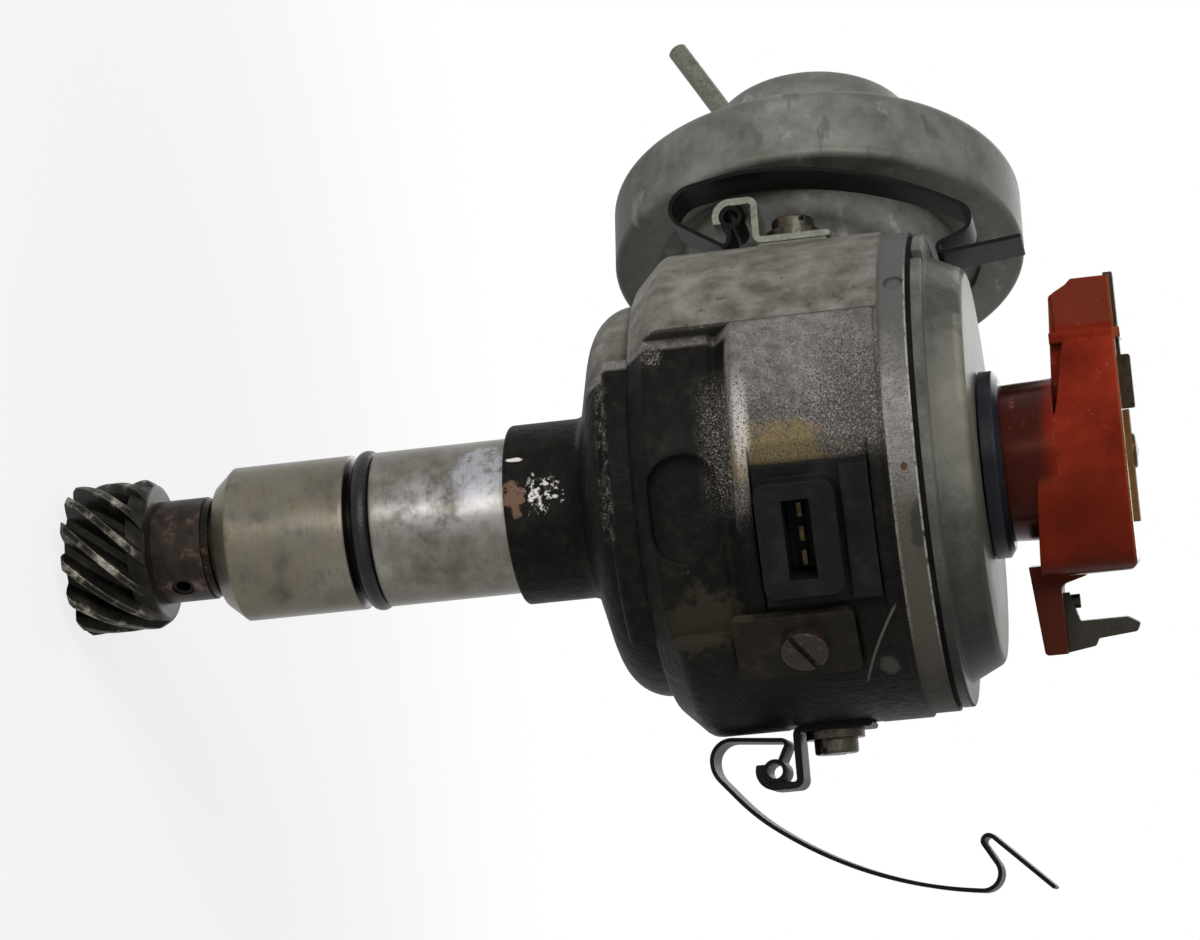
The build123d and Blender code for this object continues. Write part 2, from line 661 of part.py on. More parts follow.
def make_weight_carrier():
    plate = ring(CARRIER_R, SHAFT_R, CARRIER_Z, CARRIER_TOP_Z)
    for hole in opposed(at_post(disc(POST_R, CARRIER_Z, CARRIER_TOP_Z))):
        plate -= hole
    window = Pos(0, 18, 0) * disc(5.0, CARRIER_Z, CARRIER_TOP_Z)
    for hole in opposed(window):
        plate -= hole
    return plate


SPRING_Z = YOKE_Z + YOKE_THICK + SPRING_COIL_R + SPRING_WIRE_R + SEATED
POST_TOP_Z = SPRING_Z + 2 * SPRING_WIRE_R + 0.6


def make_weight_posts():
    post = turned(
        (0, CARRIER_Z),
        (POST_R, CARRIER_Z),
        (POST_R, WEIGHT_TOP_Z + END_FLOAT),
        (POST_NECK_R, WEIGHT_TOP_Z + END_FLOAT),
        (POST_NECK_R, POST_TOP_Z),
        (0, POST_TOP_Z),
    )
    return opposed(at_post(post))


def make_weight_clips():
    low = WEIGHT_TOP_Z + END_FLOAT
    return opposed(at_post(ring(POST_R + 1.0, POST_NECK_R, low, low + 0.7)))


def make_flyweight():
    """Crescent weight on its pivot, with a fork that the yoke pin slides in."""
    crescent = ring(WEIGHT_OUTER_R, WEIGHT_INNER_R, WEIGHT_Z, WEIGHT_TOP_Z, start=12, arc=WEIGHT_END - 12)
    lug = at_post(disc(WEIGHT_LUG_R, WEIGHT_Z, WEIGHT_TOP_Z))
    slot_half = YOKE_PIN_R + LOOSE
    fork_half = slot_half + 2.0
    fork_end = YOKE_PIN_RADIUS - 3.0
    fork = block(fork_end, POST_RADIUS, -fork_half, fork_half, WEIGHT_Z, WEIGHT_TOP_Z)
    slot_end = YOKE_PIN_RADIUS + YOKE_PIN_R + LOOSE
    slot = block(fork_end - 1, slot_end, -slot_half, slot_half, WEIGHT_Z, WEIGHT_TOP_Z)
    bore = at_post(disc(POST_R + RUNNING, WEIGHT_Z, WEIGHT_TOP_Z))
    return crescent + lug + fork - slot - bore


def yoke_post_place(solid):
    return Pos(*place(SPRING_POST_RADIUS, SPRING_POST_TURN), 0) * solid


def make_cam_sleeve():
    """Sleeve that carries the trigger wheel and the rotor, with the yoke plate at its foot."""
    top = YOKE_Z + YOKE_THICK
    low = CARRIER_TOP_Z + END_FLOAT
    bar_half = YOKE_PIN_RADIUS + YOKE_PIN_R + 0.8
    sleeve = turned(
        (SPINDLE_R + RUNNING, low),
        (SLEEVE_R, low),
        (SLEEVE_R, SLEEVE_TOP_Z - 0.6),
        (SLEEVE_R - 0.6, SLEEVE_TOP_Z),
        (SLEEVE_CUP_R, SLEEVE_TOP_Z),
        (SLEEVE_CUP_R, SLEEVE_CUP_Z),
        (SPINDLE_R + RUNNING, SLEEVE_CUP_Z),
    )
    yoke = prism(SlotOverall(2 * bar_half, 7.0) + Circle(YOKE_DISC_R) - Circle(SLEEVE_R), YOKE_Z, top)
    sleeve += yoke
    pin = Pos(YOKE_PIN_RADIUS, 0, 0) * disc(YOKE_PIN_R, WEIGHT_Z + 0.3, YOKE_Z)
    post = yoke_post_place(disc(SPRING_WIRE_R * 2.5, top, POST_TOP_Z))
    for piece in opposed(pin) + opposed(post):
        sleeve += piece
    groove = ring(SLEEVE_R + 1, SLEEVE_R - 0.7, WHEEL_RING_Z, WHEEL_RING_Z + CIRCLIP_THICK)
    flat = block(SLEEVE_R - 1.2, SLEEVE_R + 1, -SLEEVE_R, SLEEVE_R, COLLAR_TOP_Z + 1.5, SLEEVE_TOP_Z)
    return sleeve - groove - flat - wheel_pin_hole()


def make_advance_spring():
    """Tension spring from a weight post to the yoke's own post, with an eye at each end."""
    near = Vector(POST_RADIUS, 0, SPRING_Z)
    far = Vector(*place(SPRING_POST_RADIUS, SPRING_POST_TURN), SPRING_Z)
    along = far - near
    eye_near = POST_NECK_R + SPRING_WIRE_R + RUNNING
    eye_far = SPRING_WIRE_R * 3.5 + RUNNING
    coil_length = along.length - eye_near - eye_far - 4.0
    helix = Helix(coil_length / SPRING_TURNS, coil_length, SPRING_COIL_R)
    coil = sweep(Plane(helix @ 0, z_dir=helix % 0) * Circle(SPRING_WIRE_R), path=helix)
    frame = Plane(near, z_dir=along)
    coil_start = frame.location * Pos(0, 0, eye_near + 2.0)
    spring = coil_start * coil
    for start, length in ((eye_near, 2.2), (eye_near + coil_length + 1.8, 2.2)):
        spring += frame.location * Pos(0, 0, start) * Cylinder(
            SPRING_COIL_R + SPRING_WIRE_R * 0.6, length, align=(Align.CENTER, Align.CENTER, Align.MIN)
        )
    spring += Pos(*near) * Torus(eye_near, SPRING_WIRE_R)
    spring += Pos(*far) * Torus(eye_far, SPRING_WIRE_R)
    return spring


def make_spindle_circlip():
    low = SPINDLE_GROOVE_Z + 0.02
    clip = ring(SPINDLE_R + 1.0, SPINDLE_GROOVE_R, low, low + CIRCLIP_THICK - 0.04)
    return clip - block(0, SLEEVE_R, -1.6, 1.6, low - 1, low + 2)


def make_felt_wick():
    return disc(SLEEVE_CUP_R - 0.1, SPINDLE_TOP_Z + 0.4, SLEEVE_TOP_Z - 0.5)


# ==== trigger wheel, bearing plate and pickup ======================================================================
WHEEL_TOP_Z = WHEEL_Z + WHEEL_THICK
WHEEL_RING_Z = WHEEL_TOP_Z + 1.0


def wheel_pin_hole():
    """Half-round keyway shared by the sleeve and the wheel's hub."""
    return Pos(0, SLEEVE_R, 0) * disc(0.9, WHEEL_Z, WHEEL_TOP_Z + 0.8)


def make_trigger_wheel():
    """Four pointed-up teeth on a hub, spaced as the engine's cylinders fire."""
    step = 360.0 / WHEEL_TEETH
    tooth_half = 7.0
    sketch = Circle(WHEEL_ROOT_R)
    for n in range(WHEEL_TEETH):
        corners = [
            place(WHEEL_ROOT_R - 2, n * step - 2 * tooth_half),
            place(WHEEL_R, n * step - tooth_half),
            place(WHEEL_R, n * step + tooth_half),
            place(WHEEL_ROOT_R - 2, n * step + 2 * tooth_half),
        ]
        sketch += make_face(Polyline(*corners, close=True))
    wheel = prism(sketch & Circle(WHEEL_R), WHEEL_Z, WHEEL_TOP_Z)
    wheel += disc(WHEEL_HUB_R, WHEEL_Z - 0.8, WHEEL_TOP_Z + 0.9)
    return wheel - disc(SLEEVE_R, WHEEL_Z - 1, WHEEL_TOP_Z + 2) - wheel_pin_hole()


def make_trigger_pin():
    return wheel_pin_hole()


def make_wheel_ring():
    low = WHEEL_RING_Z + 0.02
    clip = ring(SLEEVE_R + 1.2, SLEEVE_R - 0.7, low, low + CIRCLIP_THICK - 0.04)
    return clip - block(0, SLEEVE_R * 2, -1.8, 1.8, low - 1, low + 2)


BEARING_TOP_Z = LEDGE_Z + PLATE_THICK
PICKUP_Z = BEARING_TOP_Z + END_FLOAT
PICKUP_TOP_Z = PICKUP_Z + PLATE_THICK
BOSS_TOP_Z = BEARING_TOP_Z + BOSS_HEIGHT
PLATE_RING_Z = PICKUP_TOP_Z + END_FLOAT


def make_bearing_plate():
    plate = ring(CAVITY_R - RUNNING, BOSS_BORE_R, LEDGE_Z, BEARING_TOP_Z)
    plate += ring(BOSS_R, BOSS_BORE_R, BEARING_TOP_Z, BOSS_TOP_Z)
    plate -= ring(BOSS_R + 1, BOSS_R - 0.8, PLATE_RING_Z, PLATE_RING_Z + CIRCLIP_THICK)
    for turn in bearing_screw_turns():
        plate -= Pos(*place(LEDGE_SCREW_RADIUS, turn), 0) * disc(PLATE_SCREW_R, LEDGE_Z, BEARING_TOP_Z)
    return plate


def make_bearing_screws():
    screw = slotted_screw(PLATE_SCREW_R, PLATE_THICK + 5.0, 2.0, 1.6)
    return [
        Pos(*place(LEDGE_SCREW_RADIUS, turn), BEARING_TOP_Z) * screw for turn in bearing_screw_turns()
    ]


def make_plate_ring():
    low = PLATE_RING_Z + 0.02
    clip = ring(BOSS_R + 1.6, BOSS_R - 0.8, low, low + CIRCLIP_THICK - 0.04)
    return clip - block(-BOSS_R * 2, 0, -2.0, 2.0, low - 1, low + 2)


PLATE_PIN_TURN = VACUUM_DIRECTION - 90
PICKUP_SCREW_X = MAGNET_WIDTH / 2 - 2.4
PICKUP_SCREW_Y = PICKUP_BACK - MAGNET_DEPTH / 2
POLE_Z = WHEEL_Z + (WHEEL_THICK - POLE_THICK) / 2


def pickup_screw_holes(low, high):
    return [
        front(PICKUP_TURN, Pos(side * PICKUP_SCREW_X, -PICKUP_SCREW_Y, 0) * disc(PLATE_SCREW_R, low, high))
        for side in (-1, 1)
    ]


def make_pickup_plate():
    plate = ring(PLATE_R, BOSS_R + SWIVEL, PICKUP_Z, PICKUP_TOP_Z)
    plate -= Pos(*place(VACUUM_OFFSET, PLATE_PIN_TURN), 0) * disc(PLATE_PIN_R, PICKUP_Z, PICKUP_TOP_Z)
    for hole in pickup_screw_holes(PICKUP_Z, PICKUP_TOP_Z):
        plate -= hole
    lightening = Pos(*place(PLATE_R - 8, PLATE_PIN_TURN + 90), 0) * disc(4.5, PICKUP_Z, PICKUP_TOP_Z)
    return plate - lightening


def make_plate_pin():
    """Pin that the pull rod's eye drops over, with a collar under the rod and a clip groove above it."""
    rod_low = VACUUM_Z - ROD_THICK / 2
    rod_high = VACUUM_Z + ROD_THICK / 2
    pin = turned(
        (0, PICKUP_Z),
        (PLATE_PIN_R, PICKUP_Z),
        (PLATE_PIN_R, PICKUP_TOP_Z),
        (PLATE_PIN_R + 1.4, PICKUP_TOP_Z),
        (PLATE_PIN_R + 1.4, rod_low - END_FLOAT),
        (PLATE_PIN_R, rod_low - END_FLOAT),
        (PLATE_PIN_R, rod_high + END_FLOAT),
        (PLATE_PIN_R - 0.5, rod_high + END_FLOAT),
        (PLATE_PIN_R - 0.5, rod_high + END_FLOAT + CIRCLIP_THICK),
        (PLATE_PIN_R, rod_high + END_FLOAT + CIRCLIP_THICK),
        (PLATE_PIN_R, rod_high + 1.8),
        (0, rod_high + 1.8),
    )
    return Pos(*place(VACUUM_OFFSET, PLATE_PIN_TURN), 0) * pin


def make_rod_clip():
    low = VACUUM_Z + ROD_THICK / 2 + END_FLOAT + 0.02
    clip = ring(PLATE_PIN_R + 1.5, PLATE_PIN_R - 0.5, low, low + CIRCLIP_THICK - 0.04)
    clip -= block(0, 6, -1.0, 1.0, low - 1, low + 2)
    return Pos(*place(VACUUM_OFFSET, PLATE_PIN_TURN), 0) * clip


def make_pickup_magnet():
    magnet = block(
        -MAGNET_WIDTH / 2, MAGNET_WIDTH / 2, -PICKUP_BACK, MAGNET_DEPTH - PICKUP_BACK, PICKUP_TOP_Z, POLE_Z
    )
    magnet = front(PICKUP_TURN, magnet)
    for hole in pickup_screw_holes(PICKUP_TOP_Z, POLE_Z):
        magnet -= hole
    return magnet


def make_pole_piece():
    """Soft-iron T: its stem points at the trigger wheel, its bar lies on the magnet."""
    tip = -(WHEEL_R + AIR_GAP)
    back = MAGNET_DEPTH - PICKUP_BACK
    top = POLE_Z + POLE_THICK
    stem = block(-POLE_WIDTH / 2, POLE_WIDTH / 2, back, tip, POLE_Z, top)
    bar = block(-MAGNET_WIDTH / 2, MAGNET_WIDTH / 2, -PICKUP_BACK, back, POLE_Z, top)
    pole = front(PICKUP_TURN, stem + bar)
    for hole in pickup_screw_holes(POLE_Z, top):
        pole -= hole
    return pole


def make_pickup_coil():
    """Wound bobbin on the pole's stem: two square cheeks and a narrower winding."""
    back = MAGNET_DEPTH - PICKUP_BACK + 0.3
    middle_z = POLE_Z + POLE_THICK / 2
    half = COIL_WIDTH / 2
    cheek = 0.9
    cheeks = [
        block(-half, half, start, start + cheek, middle_z - half + 0.9, middle_z + half - 0.9)
        for start in (back, back + COIL_LENGTH - cheek)
    ]
    winding = outward(disc(half - 1.2, 0, COIL_LENGTH))
    winding = Pos(0, back, middle_z) * Rot(0, 0, 90) * winding
    hole = block(-POLE_WIDTH / 2, POLE_WIDTH / 2, back, back + COIL_LENGTH, POLE_Z, POLE_Z + POLE_THICK)
    return front(PICKUP_TURN, winding + cheeks[0] + cheeks[1] - hole)


def make_pickup_screws():
    top = POLE_Z + POLE_THICK
    screw = slotted_screw(PLATE_SCREW_R, top - PICKUP_Z, 2.3, 1.6)
    return [
        front(PICKUP_TURN, Pos(side * PICKUP_SCREW_X, -PICKUP_SCREW_Y, top) * screw) for side in (-1, 1)
    ]


# ==== vacuum unit ====================================================================================================
DIAPHRAGM_S = CAN_LIP + 2 * CAN_WALL
DIAPHRAGM_END_S = DIAPHRAGM_S + DIAPHRAGM_THICK
CAN_END = CAN_LIP + CAN_HEIGHT
DOME_END = CAN_END + DOME_HEIGHT
STEM_R = 1.5
CUP_THICK = 1.0
CUP_GAP = 0.05


def make_vacuum_can_front():
    """Drum with its neck tube and the flange that is crimped into the rear shell."""
    wall = CAN_WALL
    shell = turned(
        (NECK_TUBE_BORE, DRUM_START - 14),
        (NECK_TUBE_R, DRUM_START - 14),
        (NECK_TUBE_R, DRUM_START, 0.8),
        (DRUM_R, DRUM_START, 1.5),
        (DRUM_R, CAN_LIP + wall),
        (CAN_R - wall, CAN_LIP + wall),
        (CAN_R - wall, CAN_LIP + 2 * wall),
        (DRUM_R - wall, CAN_LIP + 2 * wall),
        (DRUM_R - wall, DRUM_START + wall),
        (NECK_TUBE_BORE, DRUM_START + wall),
    )
    return vacuum(outward(shell)) - disc(BOWL_R + STRAP_THICK, 0, RIM_Z + 20)


def make_vacuum_can_rear():
    """Rim band crimped over the drum's flange, and the domed spring housing behind it."""
    wall = CAN_WALL
    shell = turned(
        (CAN_R - 8.0, CAN_LIP),
        (CAN_R, CAN_LIP, CAN_EDGE / 2),
        (CAN_R, CAN_END, CAN_EDGE),
        (DOME_FOOT_R, CAN_END, 2.0),
        (DOME_R, DOME_END, DOME_CORNER),
        (0, DOME_END),
        (0, DOME_END - wall),
        (DOME_R - wall, DOME_END - wall, DOME_CORNER - wall),
        (DOME_FOOT_R - wall, CAN_END - wall, 1.0),
        (CAN_R - 2.5, CAN_END - wall, 1.2),
        (CAN_R - 2.5, DIAPHRAGM_END_S),
        (CAN_R - wall, DIAPHRAGM_END_S),
        (CAN_R - wall, CAN_LIP + wall),
        (CAN_R - 8.0, CAN_LIP + wall),
    )
    return vacuum(outward(shell)) - pipe_place(disc(PIPE_ROOT_R, -2 * PIPE_SUNK, PIPE_ROOT_HEIGHT))


def pipe_place(solid):
    """Root of the vacuum pipe on the dome's face, leaning towards -Z."""
    return vacuum(Pos(DOME_END, 0, -PIPE_PLACE) * Rot(0, 90 + PIPE_LEAN, 0) * solid)


def make_vacuum_pipe():
    hose_end = PIPE_ROOT_HEIGHT + HOSE_LENGTH
    return pipe_place(
        turned(
            (PIPE_BORE, -PIPE_SUNK),
            (PIPE_ROOT_R, -PIPE_SUNK),
            (PIPE_ROOT_R, PIPE_ROOT_HEIGHT, 0.4),
            (PIPE_R, PIPE_ROOT_HEIGHT),
            (PIPE_R, hose_end),
            (PIPE_R - PIPE_EDGE, hose_end + PIPE_EDGE),
            (PIPE_BORE, hose_end + PIPE_EDGE),
        )
    )


def make_vacuum_diaphragm():
    return vacuum(outward(ring(CAN_R - CAN_WALL, STEM_R + LOOSE, DIAPHRAGM_S, DIAPHRAGM_END_S)))


def make_diaphragm_cups():
    front_cup = ring(CUP_R, STEM_R, DIAPHRAGM_S - CUP_GAP - CUP_THICK, DIAPHRAGM_S - CUP_GAP)
    low = DIAPHRAGM_END_S + CUP_GAP
    rear_cup = turned(
        (STEM_R, low),
        (CUP_R, low, 0.4),
        (CUP_R, low + 3.0),
        (CUP_R - CUP_THICK, low + 3.0),
        (CUP_R - CUP_THICK, low + CUP_THICK),
        (STEM_R, low + CUP_THICK),
    )
    return vacuum(outward(front_cup)), vacuum(outward(rear_cup))


VACUUM_SPRING_R = 9.0
VACUUM_SPRING_WIRE = 0.9
VACUUM_SPRING_TURNS = 5


def make_vacuum_spring():
    low = DIAPHRAGM_END_S + CUP_GAP + CUP_THICK + CUP_GAP + VACUUM_SPRING_WIRE
    high = DOME_END - CAN_WALL - CUP_GAP - VACUUM_SPRING_WIRE
    helix = Helix((high - low) / VACUUM_SPRING_TURNS, high - low, VACUUM_SPRING_R)
    coil = sweep(Plane(helix @ 0, z_dir=helix % 0) * Circle(VACUUM_SPRING_WIRE), path=helix)
    return vacuum(outward(Pos(0, 0, low) * coil))


def make_pull_rod():
    """Flat rod from the pickup plate's pin to the diaphragm's stem."""
    half = ROD_WIDTH / 2
    flat_end = DIAPHRAGM_S - 6.0
    rod = block(0, flat_end, -half, half, -ROD_THICK / 2, ROD_THICK / 2)
    rod += disc(ROD_EYE_R, -ROD_THICK / 2, ROD_THICK / 2)
    rod -= disc(PLATE_PIN_R + LOOSE, -ROD_THICK, ROD_THICK)
    stem = turned(
        (0, flat_end - 2.0),
        (STEM_R + 1.2, flat_end - 2.0, 0.4),
        (STEM_R + 1.2, DIAPHRAGM_S - CUP_GAP - CUP_THICK),
        (STEM_R, DIAPHRAGM_S - CUP_GAP - CUP_THICK),
        (STEM_R, DIAPHRAGM_END_S + CUP_GAP + CUP_THICK + 1.0),
        (0, DIAPHRAGM_END_S + CUP_GAP + CUP_THICK + 1.0),
    )
    return vacuum(rod + outward(stem))


STRAP_NEAR_TURN = CLIP_A_TURN
STRAP_EAR = 7.5           # degrees of strap past each screw


def make_vacuum_strap():
    """Steel band round the bowl that carries the unit's neck; its near end lies under bracket A."""
    start = STRAP_FAR_TURN - STRAP_EAR
    arc = STRAP_NEAR_TURN + STRAP_EAR - start
    outer = BOWL_R + STRAP_THICK
    strap = ring(outer, BOWL_R, STRAP_LOW_Z, STRAP_HIGH_Z, start=start, arc=arc)
    strap -= vacuum(outward(disc(NECK_TUBE_BORE, 20, DRUM_START)))
    for turn in (STRAP_FAR_TURN, STRAP_NEAR_TURN):
        strap -= radial(turn, CLIP_SCREW_Z, BOWL_R - 2, disc(CLIP_SCREW_R, 0, 6))
    return strap


# ==== dust cover, collar and rotor ====================================================================================
COVER_Z = RIM_Z + GASKET_THICK
FLANGE_TOP_Z = COVER_Z + COVER_FLANGE_THICK


def make_cover_gasket():
    return ring(COVER_FLANGE_R - 0.4, CAVITY_R - RUNNING, RIM_Z, COVER_Z)


def make_dust_cover():
    spigot_r = CAVITY_R - SWIVEL
    cover = turned(
        (spigot_r - COVER_WALL, COVER_Z - 3.2),
        (spigot_r, COVER_Z - 3.2),
        (spigot_r, COVER_Z),
        (COVER_FLANGE_R, COVER_Z),
        (COVER_FLANGE_R, FLANGE_TOP_Z, 0.3),
        (COVER_STEP_R, FLANGE_TOP_Z, 0.3),
        (COVER_EDGE_R, COVER_FACE_Z, 1.6),
        (COVER_HOLE_R, COVER_FACE_Z),
        (COVER_HOLE_R, COVER_FACE_Z - COVER_WALL),
        (COVER_EDGE_R - COVER_WALL, COVER_FACE_Z - COVER_WALL, 1.0),
        (spigot_r - COVER_WALL, FLANGE_TOP_Z),
    )
    notch = block(-1.6, 1.6, -COVER_FLANGE_R - 1, -COVER_FLANGE_R + 2.0, COVER_Z, FLANGE_TOP_Z + 1)
    return cover - front(COVER_NOTCH_TURN, notch)


def make_dust_collar():
    low = COVER_FACE_Z + 3 * END_FLOAT
    return turned(
        (SLEEVE_R, low),
        (COLLAR_R, low),
        (COLLAR_R, COLLAR_TOP_Z - 1.0),
        (COLLAR_R - 1.4, COLLAR_TOP_Z),
        (SLEEVE_R, COLLAR_TOP_Z),
    )


def rotor_plan():
    """Plan of the moulding seen along the shaft: narrow at the electrode, wide and rounded at the heel."""
    upper = [
        (ROTOR_SHOULDER_X, ROTOR_SHOULDER_HALF),
        (-6.0, ROTOR_HEEL_HALF - 2.2),
        (6.0, ROTOR_HEEL_HALF),
        (ROTOR_HEEL_X, ROTOR_HEEL_HALF),
    ]
    lower = [(x, -y) for x, y in reversed(upper)]
    return make_face(FilletPolyline(*upper, *lower, radius=[1.0, 12.0, 12.0, 5.0, 5.0, 12.0, 12.0, 1.0], close=True))


def rotor_side():
    """Side view of the body: its skirt rises in a curve from the heel to the narrow end."""
    skirt_z = ROTOR_UNDER_Z + ROTOR_SKIRT
    return outline(
        (ROTOR_SHOULDER_X, skirt_z + 7.7),
        (-8.5, skirt_z + 5.4, 14.0),
        (4.0, skirt_z + 1.0, 20.0),
        (ROTOR_HEEL_X, skirt_z),
        (ROTOR_HEEL_X, ROTOR_FACE_Z, 1.6),
        (ROTOR_SHOULDER_X, ROTOR_FACE_Z),
    )


def rotor_web():
    """Web under the tip, and the blunt tip itself."""
    web = outline(
        (ROTOR_TIP_X + 2.2, ROTOR_TIP_Z, 0.8),
        (0, ROTOR_TIP_Z - 1.8),
        (0, ROTOR_FACE_Z - 3.0),
        (ROTOR_TIP_X + 2.2, ROTOR_FACE_Z - 3.0),
    )
    tip = outline(
        (ROTOR_SHOULDER_X + 1, ROTOR_TIP_Z + 0.6),
        (ROTOR_TIP_X + 2.2, ROTOR_TIP_Z + 0.6, 0.5),
        (ROTOR_TIP_X + 0.9, ROTOR_TIP_Z + 3.0, 0.5),
        (ROTOR_TIP_X, ROTOR_TIP_Z + 4.0, 0.5),
        (ROTOR_TIP_X, ROTOR_FACE_Z),
        (ROTOR_SHOULDER_X + 1, ROTOR_FACE_Z),
    )
    return slab(web, ROTOR_WEB_HALF) + slab(tip, ROTOR_TIP_HALF)


def rotor_tail():
    """Short tail at the heel that carries the speed limiter."""
    profile = outline(
        (ROTOR_HEEL_X - 2, ROTOR_UNDER_Z - TAIL_LEAN),
        (TAIL_X, ROTOR_UNDER_Z + 0.3, 0.8),
        (TAIL_X, TAIL_Z),
        (ROTOR_HEEL_X + 1.5, TAIL_Z, 1.2),
        (ROTOR_HEEL_X + 0.3, TAIL_Z + 4.3),
        (ROTOR_HEEL_X - 2, TAIL_Z + 4.3),
    )
    return slab(profile, TAIL_HALF)


def make_rotor_arm():
    """Moulded arm: hub, skirted body with a rib across its narrow end, tip and tail."""
    body = prism(rotor_plan(), ROTOR_UNDER_Z, ROTOR_FACE_Z) & slab(rotor_side(), ROTOR_HEEL_HALF + 1)
    rib_plan = RectangleRounded(2 * ROTOR_RIB, 2 * ROTOR_SHOULDER_HALF + ROTOR_RIB, ROTOR_RIB * 0.6)
    rib = prism(rib_plan, ROTOR_TIP_Z - 0.5, ROTOR_FACE_Z + ROTOR_RIB)
    rib = fillet(rib.edges().group_by(Axis.Z)[-1], ROTOR_RIB * 0.4)
    hub = turned(
        (0, COLLAR_TOP_Z),
        (ROTOR_HUB_R, COLLAR_TOP_Z),
        (ROTOR_HUB_R + 0.5, ROTOR_UNDER_Z + 6),
        (0, ROTOR_UNDER_Z + 6),
    )
    arm = body + Pos(ROTOR_SHOULDER_X + ROTOR_RIB, 0, 0) * rib + rotor_web() + rotor_tail() + hub
    arm -= slab(electrode_profile(), ELECTRODE_HALF)
    bore = disc(SLEEVE_R, COLLAR_TOP_Z, SLEEVE_TOP_Z)
    bore -= block(SLEEVE_R - 1.2, SLEEVE_R + 1, -SLEEVE_R, SLEEVE_R, COLLAR_TOP_Z + 1.5, SLEEVE_TOP_Z)
    return arm - bore


def electrode_profile():
    """Side view of the electrode: a strip turned down over the tip, and its raised contact."""
    strip_top = ROTOR_FACE_Z + ELECTRODE_THICK
    end = ROTOR_TIP_X - ELECTRODE_THICK
    return outline(
        (end, ROTOR_FACE_Z - 1.0, 0.1),
        (end, strip_top, 0.2),
        (CONTACT_X, strip_top),
        (CONTACT_X, ROTOR_FACE_Z + CONTACT_HEIGHT, 0.4),
        (CONTACT_X + CONTACT_LENGTH, ROTOR_FACE_Z + CONTACT_HEIGHT, 0.4),
        (CONTACT_X + CONTACT_LENGTH, ROTOR_FACE_Z),
        (ROTOR_TIP_X, ROTOR_FACE_Z),
        (ROTOR_TIP_X, ROTOR_FACE_Z - 1.0),
    )


def make_rotor_electrode():
    return slab(electrode_profile(), ELECTRODE_HALF)


def make_rotor_resistor():
    """Potted suppression resistor in its raised channel, under the centre contact."""
    start = CONTACT_X + CONTACT_LENGTH + 0.2
    potting = block(start, 12.0, -RESISTOR_HALF, RESISTOR_HALF, ROTOR_FACE_Z, ROTOR_FACE_Z + 1.0)
    return potting - disc(CENTRE_CONTACT_R, ROTOR_FACE_Z, ROTOR_FACE_Z + 2)


def make_centre_contact():
    return turned(
        (0, ROTOR_FACE_Z),
        (CENTRE_CONTACT_R, ROTOR_FACE_Z),
        (CENTRE_CONTACT_R, ROTOR_FACE_Z + 1.5, 0.5),
        (0, ROTOR_FACE_Z + 1.9),
    )


def make_rotor_limiter():
    """Metal speed limiter on the tail: foot, knob and upright finger."""
    profile = outline(
        (LIMITER_X, TAIL_Z),
        (TAIL_X, TAIL_Z),
        (TAIL_X - 0.7, TAIL_Z + 4.6, 0.5),
        (FINGER_X + 3.2, TAIL_Z + 5.2, 0.6),
        (FINGER_X + 2.6, TAIL_Z + FINGER_HEIGHT - 0.6, 0.7),
        (FINGER_X + 1.2, TAIL_Z + FINGER_HEIGHT, 0.4),
        (FINGER_X, TAIL_Z + FINGER_HEIGHT - 2.0, 0.6),
        (FINGER_X, TAIL_Z + 2.4, 0.4),
        (LIMITER_X, TAIL_Z + 1.0),
    )
    return slab(profile, LIMITER_HALF) + Pos(KNOB_X, 0, 0) * disc(KNOB_R, TAIL_Z + 0.3, TAIL_Z + 2.7)


# ==== connector ==========================================================================================================
def make_connector_body():
    flange_low = RECESS_LOW_Z + SEATED
    flange_high = RECESS_HIGH_Z - SEATED
    seat = -CONNECTOR_SEAT
    body = block(-FLANGE_HALF, FLANGE_HALF, seat - FLANGE_THICK, seat, flange_low, flange_high)
    shell = block(-BLOCK_HALF, BLOCK_HALF, -CONNECTOR_FACE, seat, BLOCK_LOW_Z, BLOCK_HIGH_Z)
    shell = fillet(shell.edges().filter_by(Axis.Y), 2.0)
    body += shell
    body += block(-FLANGE_HALF + 0.6, FLANGE_HALF - 0.6, -BOWL_R - 0.4, seat, BLOCK_HIGH_Z + 0.9, flange_high)
    tail_half = WINDOW_HALF - SEATED
    body += block(-tail_half, tail_half, seat, -CAVITY_R + 3, BLOCK_LOW_Z + 2 + SEATED, BLOCK_HIGH_Z - 2 - SEATED)
    body -= block(-SOCKET_HALF, SOCKET_HALF, -CONNECTOR_FACE, -SOCKET_FLOOR, SOCKET_LOW_Z, SOCKET_HIGH_Z)
    for blade in terminal_blades():
        body -= blade
    return front(CONNECTOR_TURN, body)


def terminal_blades():
    middle_z = (SOCKET_LOW_Z + SOCKET_HIGH_Z) / 2
    blades = []
    for n in range(TERMINALS):
        x = (n - (TERMINALS - 1) / 2) * TERMINAL_PITCH
        blades.append(block(x - 1.2, x + 1.2, -TERMINAL_TIP, -CAVITY_R + 5, middle_z - 0.4, middle_z + 0.4))
    return blades


def make_connector_terminals():
    return [front(CONNECTOR_TURN, blade) for blade in terminal_blades()]


def make_connector_clamp():
    plate = block(
        -CLAMP_HALF, CLAMP_HALF, -CLAMP_SEAT - CLAMP_THICK, -CLAMP_SEAT, CLAMP_LOW_Z, CLAMP_HIGH_Z
    )
    plate = fillet(plate.edges().filter_by(Axis.Y), 1.2)
    plate = front(CLAMP_TURN, plate)
    return plate - radial(CLAMP_TURN - 90, CLAMP_SCREW_Z, CLAMP_SEAT - 1, disc(CLIP_SCREW_R, 0, 6))


